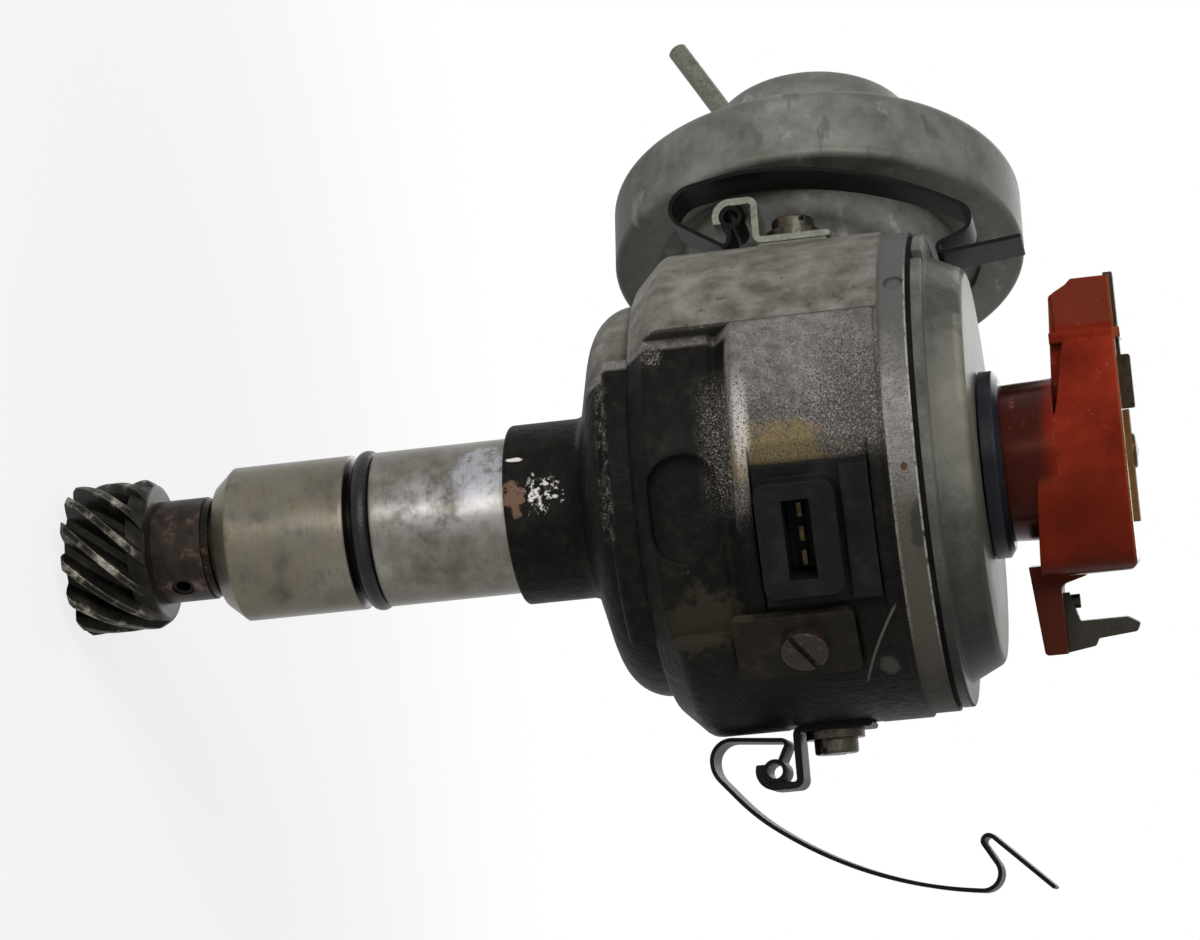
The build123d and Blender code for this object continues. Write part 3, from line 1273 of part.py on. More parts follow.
def make_clamp_screw():
    screw = slotted_screw(CLIP_SCREW_R, CLAMP_THICK + 4.5, CLAMP_HEAD_R, CLAMP_HEAD_HEIGHT)
    return radial(CLAMP_TURN - 90, CLAMP_SCREW_Z, CLAMP_SEAT + CLAMP_THICK, Rot(0, 0, 30) * screw)


# ==== spring clips and brackets ==============================================================================================
def make_clip_bracket(seat):
    """Bracket at +X with its base plate on the seat radius, its leg, and the curl that holds the clip's roll."""
    middle = ROLL_R + HINGE + BRACKET_THICK / 2
    base = seat + BRACKET_THICK / 2
    arm = sheet(
        [
            (HINGE_RADIUS + middle, HINGE_Z),
            (HINGE_RADIUS + middle, BRACKET_LEG_Z, 1.1),
            (base, BRACKET_LEG_Z, 1.1),
            (base, BRACKET_END_Z),
        ],
        BRACKET_THICK,
        BRACKET_WIDTH,
    )
    curl = curl_at_hinge(ROLL_R + HINGE + BRACKET_THICK, ROLL_R + HINGE, BRACKET_WIDTH)
    curl -= curl_mouth()
    bracket = arm + curl
    bracket -= Pos(HINGE_RADIUS, 0, HINGE_Z) * Rot(90, 0, 0) * Cylinder(ROLL_R + HINGE, BRACKET_WIDTH)
    return bracket - radial(0, CLIP_SCREW_Z, seat - 1, disc(CLIP_SCREW_R, 0, 4))


def curl_at_hinge(outer, inner, width):
    tube = Cylinder(outer, width) - Cylinder(inner, width)
    return Pos(HINGE_RADIUS, 0, HINGE_Z) * Rot(90, 0, 0) * tube


def curl_mouth():
    """Open side of the curl: towards the bowl and up to the leg."""
    reach = ROLL_R + BRACKET_THICK + 2
    mouth = block(-reach, -1.2, -BRACKET_WIDTH, BRACKET_WIDTH, -reach, reach)
    mouth += block(-reach, ROLL_R, -BRACKET_WIDTH, BRACKET_WIDTH, 0.4, reach)
    return Pos(HINGE_RADIUS, 0, HINGE_Z) * mouth


def make_spring_clip():
    """Clip at +X, swung fully open: roll, heel bend along the bowl, long bow, hook and finger tab."""
    roll = curl_at_hinge(ROLL_R, ROLL_R - CLIP_THICK, CLIP_WIDTH)
    strip = sheet(
        [
            (HINGE_RADIUS - 1.3, HINGE_Z + 0.8),
            (HINGE_RADIUS - 5.0, HINGE_Z + 2.7, 0.8),
            (HINGE_RADIUS - 6.3, HINGE_Z - 10.8, 3.5),
            (HINGE_RADIUS - 0.4, HINGE_Z - 10.5, 4.8),
            (HINGE_RADIUS + 7.5, HINGE_Z - 3.8, 35.0),
            (HINGE_RADIUS + 20.9, HINGE_Z + 14.9, 69.0),
            (HINGE_RADIUS + 23.7, HINGE_Z + 38.6, 2.9),
            (HINGE_RADIUS + 9.0, HINGE_Z + 30.1, 1.0),
            (HINGE_RADIUS + 23.4, HINGE_Z + 44.7),
        ],
        CLIP_THICK,
        CLIP_WIDTH,
    )
    return roll + strip


def swing(solid, angle):
    """Turns a clip about its hinge, towards the shaft for a positive angle."""
    hinge = Pos(HINGE_RADIUS, 0, HINGE_Z)
    return hinge * Rot(0, -angle, 0) * hinge.inverse() * solid


BRACKET_SEATS = ((CLIP_B_TURN, CLIP_FLAT), (CLIP_A_TURN, BOWL_R + STRAP_THICK))


def make_clip_screws():
    """Bracket screws, and the strap's own screw at its far end."""
    screws = []
    for turn, seat in BRACKET_SEATS:
        head_seat = seat + BRACKET_THICK + CLIP_WASHER_THICK
        length = head_seat - CAVITY_R - 0.4
        screw = slotted_screw(CLIP_SCREW_R, length, CLIP_HEAD_R, CLIP_HEAD_HEIGHT)
        screws.append(radial(turn, CLIP_SCREW_Z, head_seat, Rot(0, 0, 30) * screw))
    seat = BOWL_R + STRAP_THICK
    screw = slotted_screw(CLIP_SCREW_R, seat - CAVITY_R - 0.4, CLIP_HEAD_R, CLIP_HEAD_HEIGHT)
    screws.append(radial(STRAP_FAR_TURN, CLIP_SCREW_Z, seat, screw))
    return screws


def make_clip_washers():
    washer = ring(CLIP_WASHER_R, CLIP_SCREW_R, 0, CLIP_WASHER_THICK)
    return [radial(turn, CLIP_SCREW_Z, seat + BRACKET_THICK, washer) for turn, seat in BRACKET_SEATS]


# ==== the assembly ==============================================================================================================
def all_nodes():
    washer, shim = make_thrust_washers()
    posts = make_weight_posts()
    weight_a = make_flyweight()
    spring = make_advance_spring()
    front_cup, rear_cup = make_diaphragm_cups()
    clip = make_spring_clip()
    return {
        "housing": make_housing(),
        "shank_o_ring": make_shank_o_ring(),
        "lower_bush": make_bush(-SHANK_LENGTH, LOWER_BUSH_LENGTH - SHANK_LENGTH),
        "upper_bush": make_bush(CHAMBER_FLOOR_Z - UPPER_BUSH_LENGTH, CHAMBER_FLOOR_Z),
        "shaft": make_shaft(),
        "drive_gear": make_drive_gear(),
        "gear_pin": make_gear_pin(),
        "thrust_washer": washer,
        "thrust_shim": shim,
        "upper_thrust_washer": make_upper_thrust_washer(),
        "weight_carrier": make_weight_carrier(),
        "weight_posts": posts,
        "weight_clips": make_weight_clips(),
        "flyweight_a": weight_a,
        "flyweight_b": Rot(0, 0, 180) * weight_a,
        "advance_springs": opposed(spring),
        "cam_sleeve": make_cam_sleeve(),
        "spindle_circlip": make_spindle_circlip(),
        "felt_wick": make_felt_wick(),
        "trigger_wheel": make_trigger_wheel(),
        "trigger_pin": make_trigger_pin(),
        "wheel_circlip": make_wheel_ring(),
        "bearing_plate": make_bearing_plate(),
        "bearing_plate_screws": make_bearing_screws(),
        "pickup_plate": make_pickup_plate(),
        "plate_circlip": make_plate_ring(),
        "plate_pin": make_plate_pin(),
        "rod_clip": make_rod_clip(),
        "pickup_magnet": make_pickup_magnet(),
        "pole_piece": make_pole_piece(),
        "pickup_coil": make_pickup_coil(),
        "pickup_screws": make_pickup_screws(),
        "pull_rod": make_pull_rod(),
        "diaphragm_cup_front": front_cup,
        "diaphragm_cup_rear": rear_cup,
        "vacuum_diaphragm": make_vacuum_diaphragm(),
        "vacuum_spring": make_vacuum_spring(),
        "vacuum_can_front": make_vacuum_can_front(),
        "vacuum_can_rear": make_vacuum_can_rear(),
        "vacuum_pipe": make_vacuum_pipe(),
        "vacuum_strap": make_vacuum_strap(),
        "cover_gasket": make_cover_gasket(),
        "dust_cover": make_dust_cover(),
        "dust_collar": make_dust_collar(),
        "rotor_arm": make_rotor_arm(),
        "rotor_electrode": make_rotor_electrode(),
        "rotor_resistor": make_rotor_resistor(),
        "rotor_centre_contact": make_centre_contact(),
        "rotor_limiter": make_rotor_limiter(),
        "connector_body": make_connector_body(),
        "connector_terminals": make_connector_terminals(),
        "connector_clamp": make_connector_clamp(),
        "clamp_screw": make_clamp_screw(),
        "clip_bracket_a": Rot(0, 0, CLIP_A_TURN) * make_clip_bracket(BOWL_R + STRAP_THICK),
        "clip_bracket_b": Rot(0, 0, CLIP_B_TURN) * make_clip_bracket(CLIP_FLAT),
        "clip_screws": make_clip_screws(),
        "clip_washers": make_clip_washers(),
        "spring_clip_a": Rot(0, 0, CLIP_A_TURN) * swing(clip, CLIP_SWING),
        "spring_clip_b": Rot(0, 0, CLIP_B_TURN) * clip,
    }


def export_all():
    os.makedirs("parts", exist_ok=True)
    for name, solid in all_nodes().items():
        if isinstance(solid, (list, tuple)):
            solid = Compound([single for piece in solid for single in piece.solids()])
        export_step(solid, f"parts/{name}.step")


export_all()
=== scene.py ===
"""Looks of the ignition distributor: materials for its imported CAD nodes, a floor, lights and a camera."""
import math

import bmesh
import bpy
from mathutils import Matrix, Vector


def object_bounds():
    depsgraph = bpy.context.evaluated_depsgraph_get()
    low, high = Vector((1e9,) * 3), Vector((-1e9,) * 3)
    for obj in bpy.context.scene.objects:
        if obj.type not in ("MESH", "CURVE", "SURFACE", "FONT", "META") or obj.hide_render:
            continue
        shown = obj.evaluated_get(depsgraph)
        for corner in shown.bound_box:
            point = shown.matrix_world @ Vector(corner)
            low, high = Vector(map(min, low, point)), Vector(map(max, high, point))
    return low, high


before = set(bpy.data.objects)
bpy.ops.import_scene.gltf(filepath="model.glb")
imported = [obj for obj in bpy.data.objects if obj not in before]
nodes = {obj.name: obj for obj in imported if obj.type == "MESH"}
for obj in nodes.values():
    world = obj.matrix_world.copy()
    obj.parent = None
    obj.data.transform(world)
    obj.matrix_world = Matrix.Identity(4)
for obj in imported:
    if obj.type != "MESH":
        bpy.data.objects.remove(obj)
cad_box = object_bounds()

MM = 0.001  # metres

# Landmarks of the casting. Heights are in mm above the seat. Turns are in degrees round the shaft, from 0
# towards the camera, and are negative towards the top of the picture.
GROOVE_Z = (-28.7, -23.8)  # the O-ring's groove in the shank
NECK_Z = 14.5  # where the grease of the neck ends
PANEL_Z = 42.8  # the sunk panel's end towards the rim
PANEL_TURN = -37.8  # the sunk panel's upper edge
LINE_TURN = -41.0  # the raised line between smooth and sandy casting
RIM_Z = (67.95, 73.0)  # the turned band under the cover

# The three sockets of a Mix node that carry its inputs and its result, for colours and for numbers.
MIX_COLOUR = (6, 7, 2)
MIX_NUMBER = (2, 3, 0)

BEVEL_SAMPLES = 4
OCCLUSION_SAMPLES = 6


def seen(red, green, blue):
    """Linear colour of a surface that shows as these values from 0 to 255."""
    shares = (red / 255, green / 255, blue / 255)
    return tuple(c / 12.92 if c < 0.04045 else ((c + 0.055) / 1.055) ** 2.4 for c in shares)


def shade(colour, share, lift=0.0):
    """The colour made lighter or darker, with no channel over 1."""
    return tuple(min(1.0, channel * share + lift) for channel in colour)


def new_node(tree, kind, **settings):
    """A node of this kind, with its own settings such as the operation."""
    node = tree.nodes.new(kind)
    for name, value in settings.items():
        setattr(node, name, value)
    return node


# ---- shader building ----------------------------------------------------------------------------------
class Shader:
    """A Principled material whose patterns are drawn in the part's own frame.

    x, y, z, radius and every size are in millimetres, and turn is in degrees round the shaft. A mask is a
    number from 0 to 1 that says where something shows.
    """

    def __init__(self, name, **constants):
        self.material = bpy.data.materials.new(name)
        self.material.use_nodes = True
        self.tree = self.material.node_tree
        self.surface = self.tree.nodes["Principled BSDF"]
        for socket, value in constants.items():
            self.set(socket.replace("_", " "), value)
        in_metres = self.add("ShaderNodeTexCoord").outputs["Object"]
        scale = self.add("ShaderNodeVectorMath", operation="SCALE")
        self.link(in_metres, scale.inputs[0])
        self.link(1 / MM, scale.inputs["Scale"])
        self.place = scale.outputs[0]
        split = self.add("ShaderNodeSeparateXYZ")
        self.link(self.place, split.inputs[0])
        self.x, self.y, self.z = split.outputs
        self.radius = self.length(self.x, self.y)
        to_camera = self.times(self.y, -1)
        self.turn = self.times(self.math("ARCTAN2", self.x, to_camera), math.degrees(1))

    def add(self, kind, **settings):
        return new_node(self.tree, kind, **settings)

    def link(self, value, socket):
        """Gives a socket its value: another node's output, a colour of three channels, or a constant."""
        if isinstance(value, bpy.types.NodeSocket):
            self.tree.links.new(value, socket)
        elif isinstance(value, tuple) and socket.type == "RGBA":
            socket.default_value = (*value, 1.0)
        else:
            socket.default_value = value

    def set(self, name, value):
        self.link(value, self.surface.inputs[name])

    # -- numbers

    def math(self, operation, a, b=None, clamp=False):
        node = self.add("ShaderNodeMath", operation=operation, use_clamp=clamp)
        self.link(a, node.inputs[0])
        if b is not None:
            self.link(b, node.inputs[1])
        return node.outputs[0]

    def times(self, *values):
        result = values[0]
        for value in values[1:]:
            result = self.math("MULTIPLY", result, value)
        return result

    def plus(self, *values, clamp=False):
        result = values[0]
        for value in values[1:]:
            result = self.math("ADD", result, value, clamp=clamp)
        return result

    def most(self, *values):
        result = values[0]
        for value in values[1:]:
            result = self.math("MAXIMUM", result, value)
        return result

    def length(self, a, b):
        return self.math("SQRT", self.plus(self.times(a, a), self.times(b, b)))

    def less(self, value):
        """1 - value, kept from 0 to 1."""
        return self.math("SUBTRACT", 1.0, value, clamp=True)

    def centred(self, value, size):
        """Noise from 0 to 1, turned into plus or minus half the size."""
        return self.times(self.plus(value, -0.5), size)

    def blend(self, factor, a, b):
        """Number between a and b."""
        return self.mix(factor, a, b, "FLOAT", MIX_NUMBER)

    # -- masks

    def step(self, value, low, high):
        """0 below low and 1 above high, smooth between; the other way round where low is the larger."""
        node = self.add("ShaderNodeMapRange", interpolation_type="SMOOTHSTEP")
        falling = low > high
        self.link(value, node.inputs["Value"])
        node.inputs["From Min"].default_value = min(low, high)
        node.inputs["From Max"].default_value = max(low, high)
        node.inputs["To Min"].default_value = 1.0 if falling else 0.0
        node.inputs["To Max"].default_value = 0.0 if falling else 1.0
        return node.outputs["Result"]

    def band(self, value, low, high, soft):
        """1 from low to high, with soft ends."""
        rising = self.step(value, low - soft, low + soft)
        return self.times(rising, self.step(value, high + soft, high - soft))

    def patch(self, z, turn, half_z, half_turn, noise, uneven=1.0):
        """1 inside an oval at a height and a turn, 0 outside it. The noise makes its outline uneven."""
        starts, full = 1.1, 0.75  # shares of the oval's half sizes
        sway = self.centred(noise, 2.4 * uneven)
        along = self.times(self.plus(self.z, -z), 1.0 / half_z)
        across = self.times(self.plus(self.turn, -turn), 1.0 / half_turn)
        return self.step(self.plus(self.length(along, across), sway), starts, full)

    def edges(self, size, strength):
        """1 on edges and corners, 0 on flat and gently curved faces."""
        true_normal = self.add("ShaderNodeNewGeometry").outputs["Normal"]
        node = self.add("ShaderNodeVectorMath", operation="DOT_PRODUCT")
        self.link(self.rounded(size), node.inputs[0])
        self.link(true_normal, node.inputs[1])
        apart = self.math("SUBTRACT", 1.0, node.outputs["Value"])
        return self.math("MULTIPLY", apart, strength, clamp=True)

    def hollows(self, reach, open_share, shut_share):
        """1 deep in a corner or beside a raised piece, 0 out in the open."""
        node = self.add("ShaderNodeAmbientOcclusion", samples=OCCLUSION_SAMPLES)
        node.inputs["Distance"].default_value = reach * MM
        return self.step(node.outputs["AO"], open_share, shut_share)

    # -- patterns

    def noise(self, size, detail, rough, stretch=None, offset=0.0):
        """Noise from 0 to 1 with features of the given size. The offset makes one unlike the next."""
        where = self.place
        if stretch or offset:
            mapping = self.add("ShaderNodeMapping")
            self.link(where, mapping.inputs["Vector"])
            mapping.inputs["Scale"].default_value = stretch or (1, 1, 1)
            mapping.inputs["Location"].default_value = (offset, offset, offset)
            where = mapping.outputs[0]
        return self.noise_at(where, size, detail, rough)

    def noise_at(self, where, size, detail, rough):
        node = self.add("ShaderNodeTexNoise")
        self.link(where, node.inputs["Vector"])
        node.inputs["Scale"].default_value = 1.0 / size
        node.inputs["Detail"].default_value = detail
        node.inputs["Roughness"].default_value = rough
        return node.outputs["Fac"]

    def rings(self, size, along, detail=3.0):
        """Streaks that run round the shaft: noise in radius, height and a slow turn."""
        per_degree = 0.012 * along
        join = self.add("ShaderNodeCombineXYZ")
        self.link(self.times(self.turn, per_degree), join.inputs[0])
        self.link(self.times(self.z, 1.0 / size), join.inputs[1])
        self.link(self.times(self.radius, 1.0 / size), join.inputs[2])
        return self.noise_at(join.outputs[0], 1.0, detail, 0.6)

    # -- colours

    def ramp(self, value, *stops):
        node = self.add("ShaderNodeValToRGB")
        self.link(value, node.inputs["Fac"])
        elements = node.color_ramp.elements
        while len(elements) < len(stops):
            elements.new(0.5)
        for element, (position, colour) in zip(elements, stops):
            element.position = position
            element.color = (*colour, 1.0)
        return node.outputs["Color"]

    def mix(self, factor, a, b, kind="RGBA", sockets=MIX_COLOUR):
        """Colour between a and b."""
        first, second, result = sockets
        node = self.add("ShaderNodeMix", data_type=kind)
        self.link(factor, node.inputs["Factor"])
        self.link(a, node.inputs[first])
        self.link(b, node.inputs[second])
        return node.outputs[result]

    def over(self, tint, mask, share, colour):
        """The tint with this share of a colour laid over it where the mask is 1."""
        return self.mix(self.times(mask, share), tint, colour)

    # -- surface

    def rounded(self, size):
        """Normal of the surface with its edges rounded."""
        node = self.add("ShaderNodeBevel", samples=BEVEL_SAMPLES)
        node.inputs["Radius"].default_value = size * MM
        return node.outputs["Normal"]

    def bump(self, height, depth, rounding):
        """Bump of the given depth over edges that are rounded, unless the rounding is 0."""
        node = self.add("ShaderNodeBump")
        node.inputs["Distance"].default_value = depth * MM
        self.link(height, node.inputs["Height"])
        if rounding:
            self.link(self.rounded(rounding), node.inputs["Normal"])
        self.set("Normal", node.outputs["Normal"])

    def dress(self, *names):
        for name in names:
            slots = nodes[name].data.materials
            slots.clear()
            slots.append(self.material)


# ---- housing ------------------------------------------------------------------------------------------
def shank_colour(s, cloud, smear, fine):
    """Machined land: mottled grey, olive towards the gear, with faint rust marks round it, a painted
    highlight along its upper front and painted shade on its lower side.
    """
    tint = s.ramp(
        s.blend(0.45, cloud, smear),
        (0.34, seen(76, 72, 66)),
        (0.46, seen(102, 98, 91)),
        (0.56, seen(122, 119, 112)),
        (0.68, seen(152, 150, 146)),
    )
    olive = s.times(s.step(s.z, -24, -32), s.step(smear, 0.35, 0.60))
    tint = s.over(tint, olive, 0.65, seen(104, 98, 78))
    # Painted highlight: a pale band where the lamps' highlight runs along the shank's upper front.
    pale = s.times(s.band(s.z, -20, 0, 5), s.band(s.turn, -34, 2, 16), s.step(smear, 0.34, 0.62))
    tint = s.over(tint, pale, 0.55, seen(176, 175, 178))
    bloom = s.times(s.patch(-4, -38, 5, 26, smear, 0.7), s.step(fine, 0.30, 0.56))
    tint = s.over(tint, bloom, 0.6, seen(182, 182, 190))
    marks = s.noise(1.1, 4, 0.6, stretch=(0.35, 0.35, 2.2), offset=31)
    rust = s.times(s.step(marks, 0.57, 0.68), s.step(cloud, 0.40, 0.56), s.step(s.turn, -60, -20))
    tint = s.over(tint, rust, 0.55, seen(92, 66, 54))
    scuff = s.times(s.step(smear, 0.58, 0.70), s.step(fine, 0.40, 0.60))
    tint = s.over(tint, scuff, 0.5, seen(66, 59, 52))
    # Painted shade: darker on the lower side, away from the key lamp.
    lower = s.step(s.turn, 34, 80)
    tint = s.over(tint, lower, 0.6, seen(66, 61, 50))
    turned = s.step(s.rings(0.5, 1.2), 0.56, 0.72)
    tint = s.over(tint, turned, 0.22, seen(92, 88, 82))
    groove = s.times(s.band(s.z, *GROOVE_Z, 0.2), s.step(s.radius, 13.3, 12.8))
    return s.mix(groove, tint, seen(22, 21, 20))


def cast_colour(s, cloud, smear, fine, sand):
    """As-cast bowl: smooth olive grey on top, paler and speckled in front of the raised line, with a painted
    highlight on the fillet by the sunk panel.
    """
    streaks = s.noise(6.0, 5, 0.6, stretch=(1, 1, 0.35), offset=61)
    smooth = s.ramp(
        s.blend(0.7, streaks, smear),
        (0.34, seen(74, 71, 63)),
        (0.48, seen(100, 97, 89)),
        (0.64, seen(128, 125, 119)),
    )
    spots = s.step(s.noise(2.2, 4, 0.65, offset=17), 0.62, 0.70)
    smooth = s.over(smooth, spots, 0.6, seen(52, 48, 42))

    raw = s.ramp(
        s.blend(0.55, cloud, fine),
        (0.36, seen(70, 67, 64)),
        (0.50, seen(96, 92, 89)),
        (0.64, seen(122, 118, 115)),
    )
    low_front = s.step(s.turn, -30, -9)
    near_rim = s.times(s.step(s.z, 54, 61), s.step(s.turn, -42, -27))
    density = s.plus(s.times(low_front, 0.75), s.times(near_rim, 0.5), s.centred(fine, 0.9), clamp=True)
    flecks = s.step(s.math("SUBTRACT", sand, s.blend(density, 0.36, 0.54)), 0.06, -0.06)
    raw = s.over(raw, density, 0.35, seen(76, 72, 68))
    raw = s.over(raw, flecks, 0.8, seen(44, 41, 38))
    raw = s.over(raw, s.step(sand, 0.60, 0.70), 0.35, seen(160, 156, 152))

    tint = s.mix(s.step(s.turn, LINE_TURN - 0.4, LINE_TURN + 0.4), smooth, raw)
    on_line = s.band(s.turn, LINE_TURN - 0.8, LINE_TURN + 0.1, 0.25)
    line = s.times(on_line, s.step(s.z, 28, 30), s.step(fine, 0.30, 0.48))
    tint = s.over(tint, line, 0.9, seen(42, 38, 36))
    beside_line = s.band(s.turn, LINE_TURN + 0.2, LINE_TURN + 1.4, 0.5)
    glints = s.times(beside_line, s.step(s.noise(0.8, 3, 0.6, offset=23), 0.60, 0.70))
    tint = s.over(tint, glints, 0.6, seen(180, 178, 174))
    ochre = s.patch(50.5, -7, 9.5, 7.5, smear, 0.8)
    tint = s.over(tint, ochre, s.blend(flecks, 0.85, 0.35), seen(106, 92, 60))
    # Painted highlight: a pale column where the fillet beside the sunk panel catches the light.
    fillet_highlight = s.times(s.band(s.z, 43.4, 46.0, 0.7), s.band(s.turn, -24, -6, 7), s.step(sand, 0.34, 0.50))
    return s.over(tint, fillet_highlight, 0.75, seen(176, 172, 167))


def rim_colour(s, smear, fine, sand):
    """Turned band under the cover: speckled in front, pale only where its highlight runs, with painted shade
    towards both sides, grease and painted shade low down, and painted highlights along both edges.
    """
    tint = s.ramp(s.blend(0.5, smear, fine), (0.38, seen(104, 101, 98)), (0.62, seen(134, 131, 128)))
    wandering = s.plus(s.turn, s.centred(smear, 20))
    # Painted shade: darker towards the top and the lower side, leaving the band pale only where its
    # highlight runs.
    tint = s.mix(s.step(wandering, -16, -38), tint, seen(86, 85, 83))
    tint = s.mix(s.step(wandering, -10, 14), tint, seen(78, 74, 66))
    flecks = s.times(s.step(sand, 0.50, 0.42), s.band(s.turn, -38, 26, 8))
    tint = s.over(tint, flecks, 0.5, seen(60, 56, 51))
    stain = s.patch(71.6, 12, 1.8, 6, smear, 0.6)
    tint = s.over(tint, stain, 0.8, seen(46, 45, 45))
    brown = s.patch(70.4, -1.5, 0.6, 1.0, fine, 0.5)
    tint = s.mix(brown, tint, seen(70, 54, 40))
    # Painted highlight along the band's edge by the bowl.
    edge = s.times(s.step(s.z, 68.6, 68.0), s.band(s.turn, -20, 40, 8), s.step(sand, 0.36, 0.52))
    tint = s.over(tint, edge, 0.55, seen(176, 172, 162))
    # Painted highlight along the band's edge by the cover.
    lip = s.times(s.step(s.z, 72.1, 72.3), s.band(s.turn, -60, 44, 14), s.step(fine, 0.36, 0.54))
    tint = s.over(tint, lip, 0.6, seen(178, 176, 168))
    # Dark grease and painted shade on the lower side.
    rim_grime_and_shade = s.step(s.plus(s.turn, s.centred(smear, 24)), 50, 62)
    return s.over(tint, rim_grime_and_shade, 0.8, seen(42, 39, 33))


def grime_and_shade_mask(s, smear, fine, height, panel_front, rim):
    """Black grease on the neck and in the sunk panel, and grease with painted shade on the lower side, with
    little of it on the rim.
    """
    # The lower side is darkened by grease and by painted shade, away from the key lamp.
    downward = s.times(s.x, s.math("DIVIDE", 1.0, s.most(s.radius, 1.0)))
    wander = s.plus(s.centred(smear, 0.22), s.centred(fine, 0.10))
    near_rim = s.times(s.step(s.z, 57, 65), 0.20)
    lower_grime_and_shade = s.step(s.plus(downward, wander, near_rim), 0.02, 0.17)
    lower_grime_and_shade = s.times(lower_grime_and_shade, s.less(s.times(rim, 0.95)))
    back = s.times(s.step(s.y, 5, 25), s.less(s.times(s.step(smear, 0.40, 0.62), 0.7)))
    panel = s.times(s.step(s.z, PANEL_Z + 0.4, PANEL_Z - 0.4), s.most(panel_front, s.times(back, 0.8)))
    neck = s.most(s.step(height, NECK_Z, NECK_Z - 2), s.times(s.step(height, 21, 16), 0.75))
    return s.most(lower_grime_and_shade, panel, neck)


def crust_mask(s, fine, height, panel_front):
    """Dried dirt along the panel's edges, in two small patches and in stray specks."""
    to_edge = s.step(s.z, PANEL_Z + 0.1, PANEL_Z - 0.3)
    right_edge = s.times(s.step(height, 36.0, 41.5), to_edge, s.band(s.turn, -25, 2, 7), panel_front)
    broken = s.step(fine, 0.44, 0.56)
    left_edge = s.times(s.band(s.z, 19.6, 21.8, 0.5), s.band(s.turn, -37, 9, 4), broken)
    corner = s.patch(30.2, -36, 2.0, 3.2, fine)
    below = s.patch(29.2, 65, 1.5, 3.2, fine)
    specks = s.step(s.noise(1.0, 3, 0.6, offset=41), 0.70, 0.75)
    stray = s.times(specks, s.band(s.z, 13, 42, 2), panel_front)
    return s.most(s.most(right_edge, left_edge), s.most(corner, below), s.times(stray, 0.7))


def chip_mask(s, fine):
    """Two places on the neck where its black is chipped off."""
    specks = s.step(s.noise(0.9, 3, 0.6, offset=51), 0.50, 0.58)
    speckled = s.times(s.patch(6.8, -12, 3.2, 11, fine, 1.2), specks)
    return s.most(speckled, s.patch(2.0, -37, 1.6, 1.6, fine, 0.7))


def scratch_mask(s, smear):
    """Long scratch on the lower front, an arc in height and distance round the bowl, and a scuff by it."""
    centre_z, centre_round, radius = 115.2, 51.5, 57.2
    mm_per_degree = 0.7261  # round the bowl's wall, which is 41.6 mm from the shaft's axis
    round_bowl = s.times(s.turn, mm_per_degree)
    away = s.length(s.plus(s.z, -centre_z), s.plus(round_bowl, -centre_round))
    off = s.math("ABSOLUTE", s.plus(away, -radius))
    arc = s.times(s.step(off, 0.30, 0.12), s.band(s.turn, 30, 53, 1.5), s.band(s.z, 58, 66.5, 0.6))
    return s.most(arc, s.times(s.patch(63.8, 47, 1.8, 4, smear), 0.55))


def dress_housing():
    """Machined shank below the seat; as-cast bowl above it, with grease, crusts, chips and a scratch,
    painted shade on its lower side and in its hollows, and painted highlights.
    """
    s = Shader("cast_housing", IOR=1.45, Specular_IOR_Level=0.06)
    cloud = s.noise(15, 4, 0.55)
    smear = s.noise(5, 5, 0.62, offset=7)
    fine = s.noise(1.7, 4, 0.65, offset=3)
    sand = s.noise(0.30, 2, 0.5, offset=1)
    height = s.plus(s.z, s.centred(smear, 2.5), s.centred(fine, 1.5))
    shank = s.step(s.z, 0.02, -0.02)
    rim = s.band(s.z, *RIM_Z, 0.1)
    panel_front = s.step(s.turn, PANEL_TURN - 0.6, PANEL_TURN + 0.6)
    grime_and_shade = grime_and_shade_mask(s, smear, fine, height, panel_front, rim)
    crust = crust_mask(s, fine, height, panel_front)
    chips = chip_mask(s, fine)

    body = s.mix(rim, cast_colour(s, cloud, smear, fine, sand), rim_colour(s, smear, fine, sand))
    # Dirt and painted shade: darker in hollows and beside raised pieces, where the light is shut out.
    body = s.over(body, s.hollows(4.0, 0.86, 0.52), s.blend(rim, 0.85, 0.35), seen(24, 22, 19))
    # The tint of grease, laid on by the mask of grease and painted shade.
    dirt = s.ramp(
        s.blend(0.5, smear, fine),
        (0.34, seen(9, 9, 8)),
        (0.50, seen(16, 15, 13)),
        (0.62, seen(28, 26, 22)),
        (0.74, seen(54, 49, 42)),
    )
    body = s.mix(grime_and_shade, body, dirt)
    ridge = s.times(s.band(s.z, 28.5, 42, 2.5), s.patch(35, 31, 7, 9, smear))
    body = s.over(body, ridge, 0.6, seen(58, 53, 43))
    crust_tint = s.ramp(
        sand,
        (0.40, seen(24, 22, 20)),
        (0.54, seen(72, 68, 62)),
        (0.68, seen(146, 142, 136)),
    )
    body = s.over(body, crust, 0.9, crust_tint)
    body = s.mix(chips, body, seen(206, 202, 196))
    rust = s.patch(1.8, -11, 2.0, 10, fine, 1.2)
    body = s.over(body, rust, 0.8, seen(112, 88, 72))
    body = s.over(body, scratch_mask(s, smear), 0.5, seen(120, 116, 108))
    s.set("Base Color", s.mix(shank, body, shank_colour(s, cloud, smear, fine)))

    s.set("Metallic", s.blend(shank, s.blend(grime_and_shade, 0.3, 0.0), 0.88))
    cast_shine = s.blend(sand, 0.46, 0.66)
    greasy = s.blend(fine, 0.34, 0.60)
    s.set("Roughness", s.blend(shank, s.blend(grime_and_shade, cast_shine, greasy), s.blend(smear, 0.26, 0.38)))

    casting = s.plus(s.times(sand, 0.34), s.times(fine, 0.35))
    lumps = s.plus(s.times(smear, 1.3), s.times(fine, 0.9), s.times(sand, 0.12))
    relief = s.plus(s.blend(grime_and_shade, casting, lumps), s.times(crust, sand, 1.4), s.times(chips, 0.8))
    turned = s.times(s.rings(0.16, 0.3, 2), 0.06)
    s.bump(s.blend(shank, relief, turned), 0.30, rounding=0.9)
    s.dress("housing")


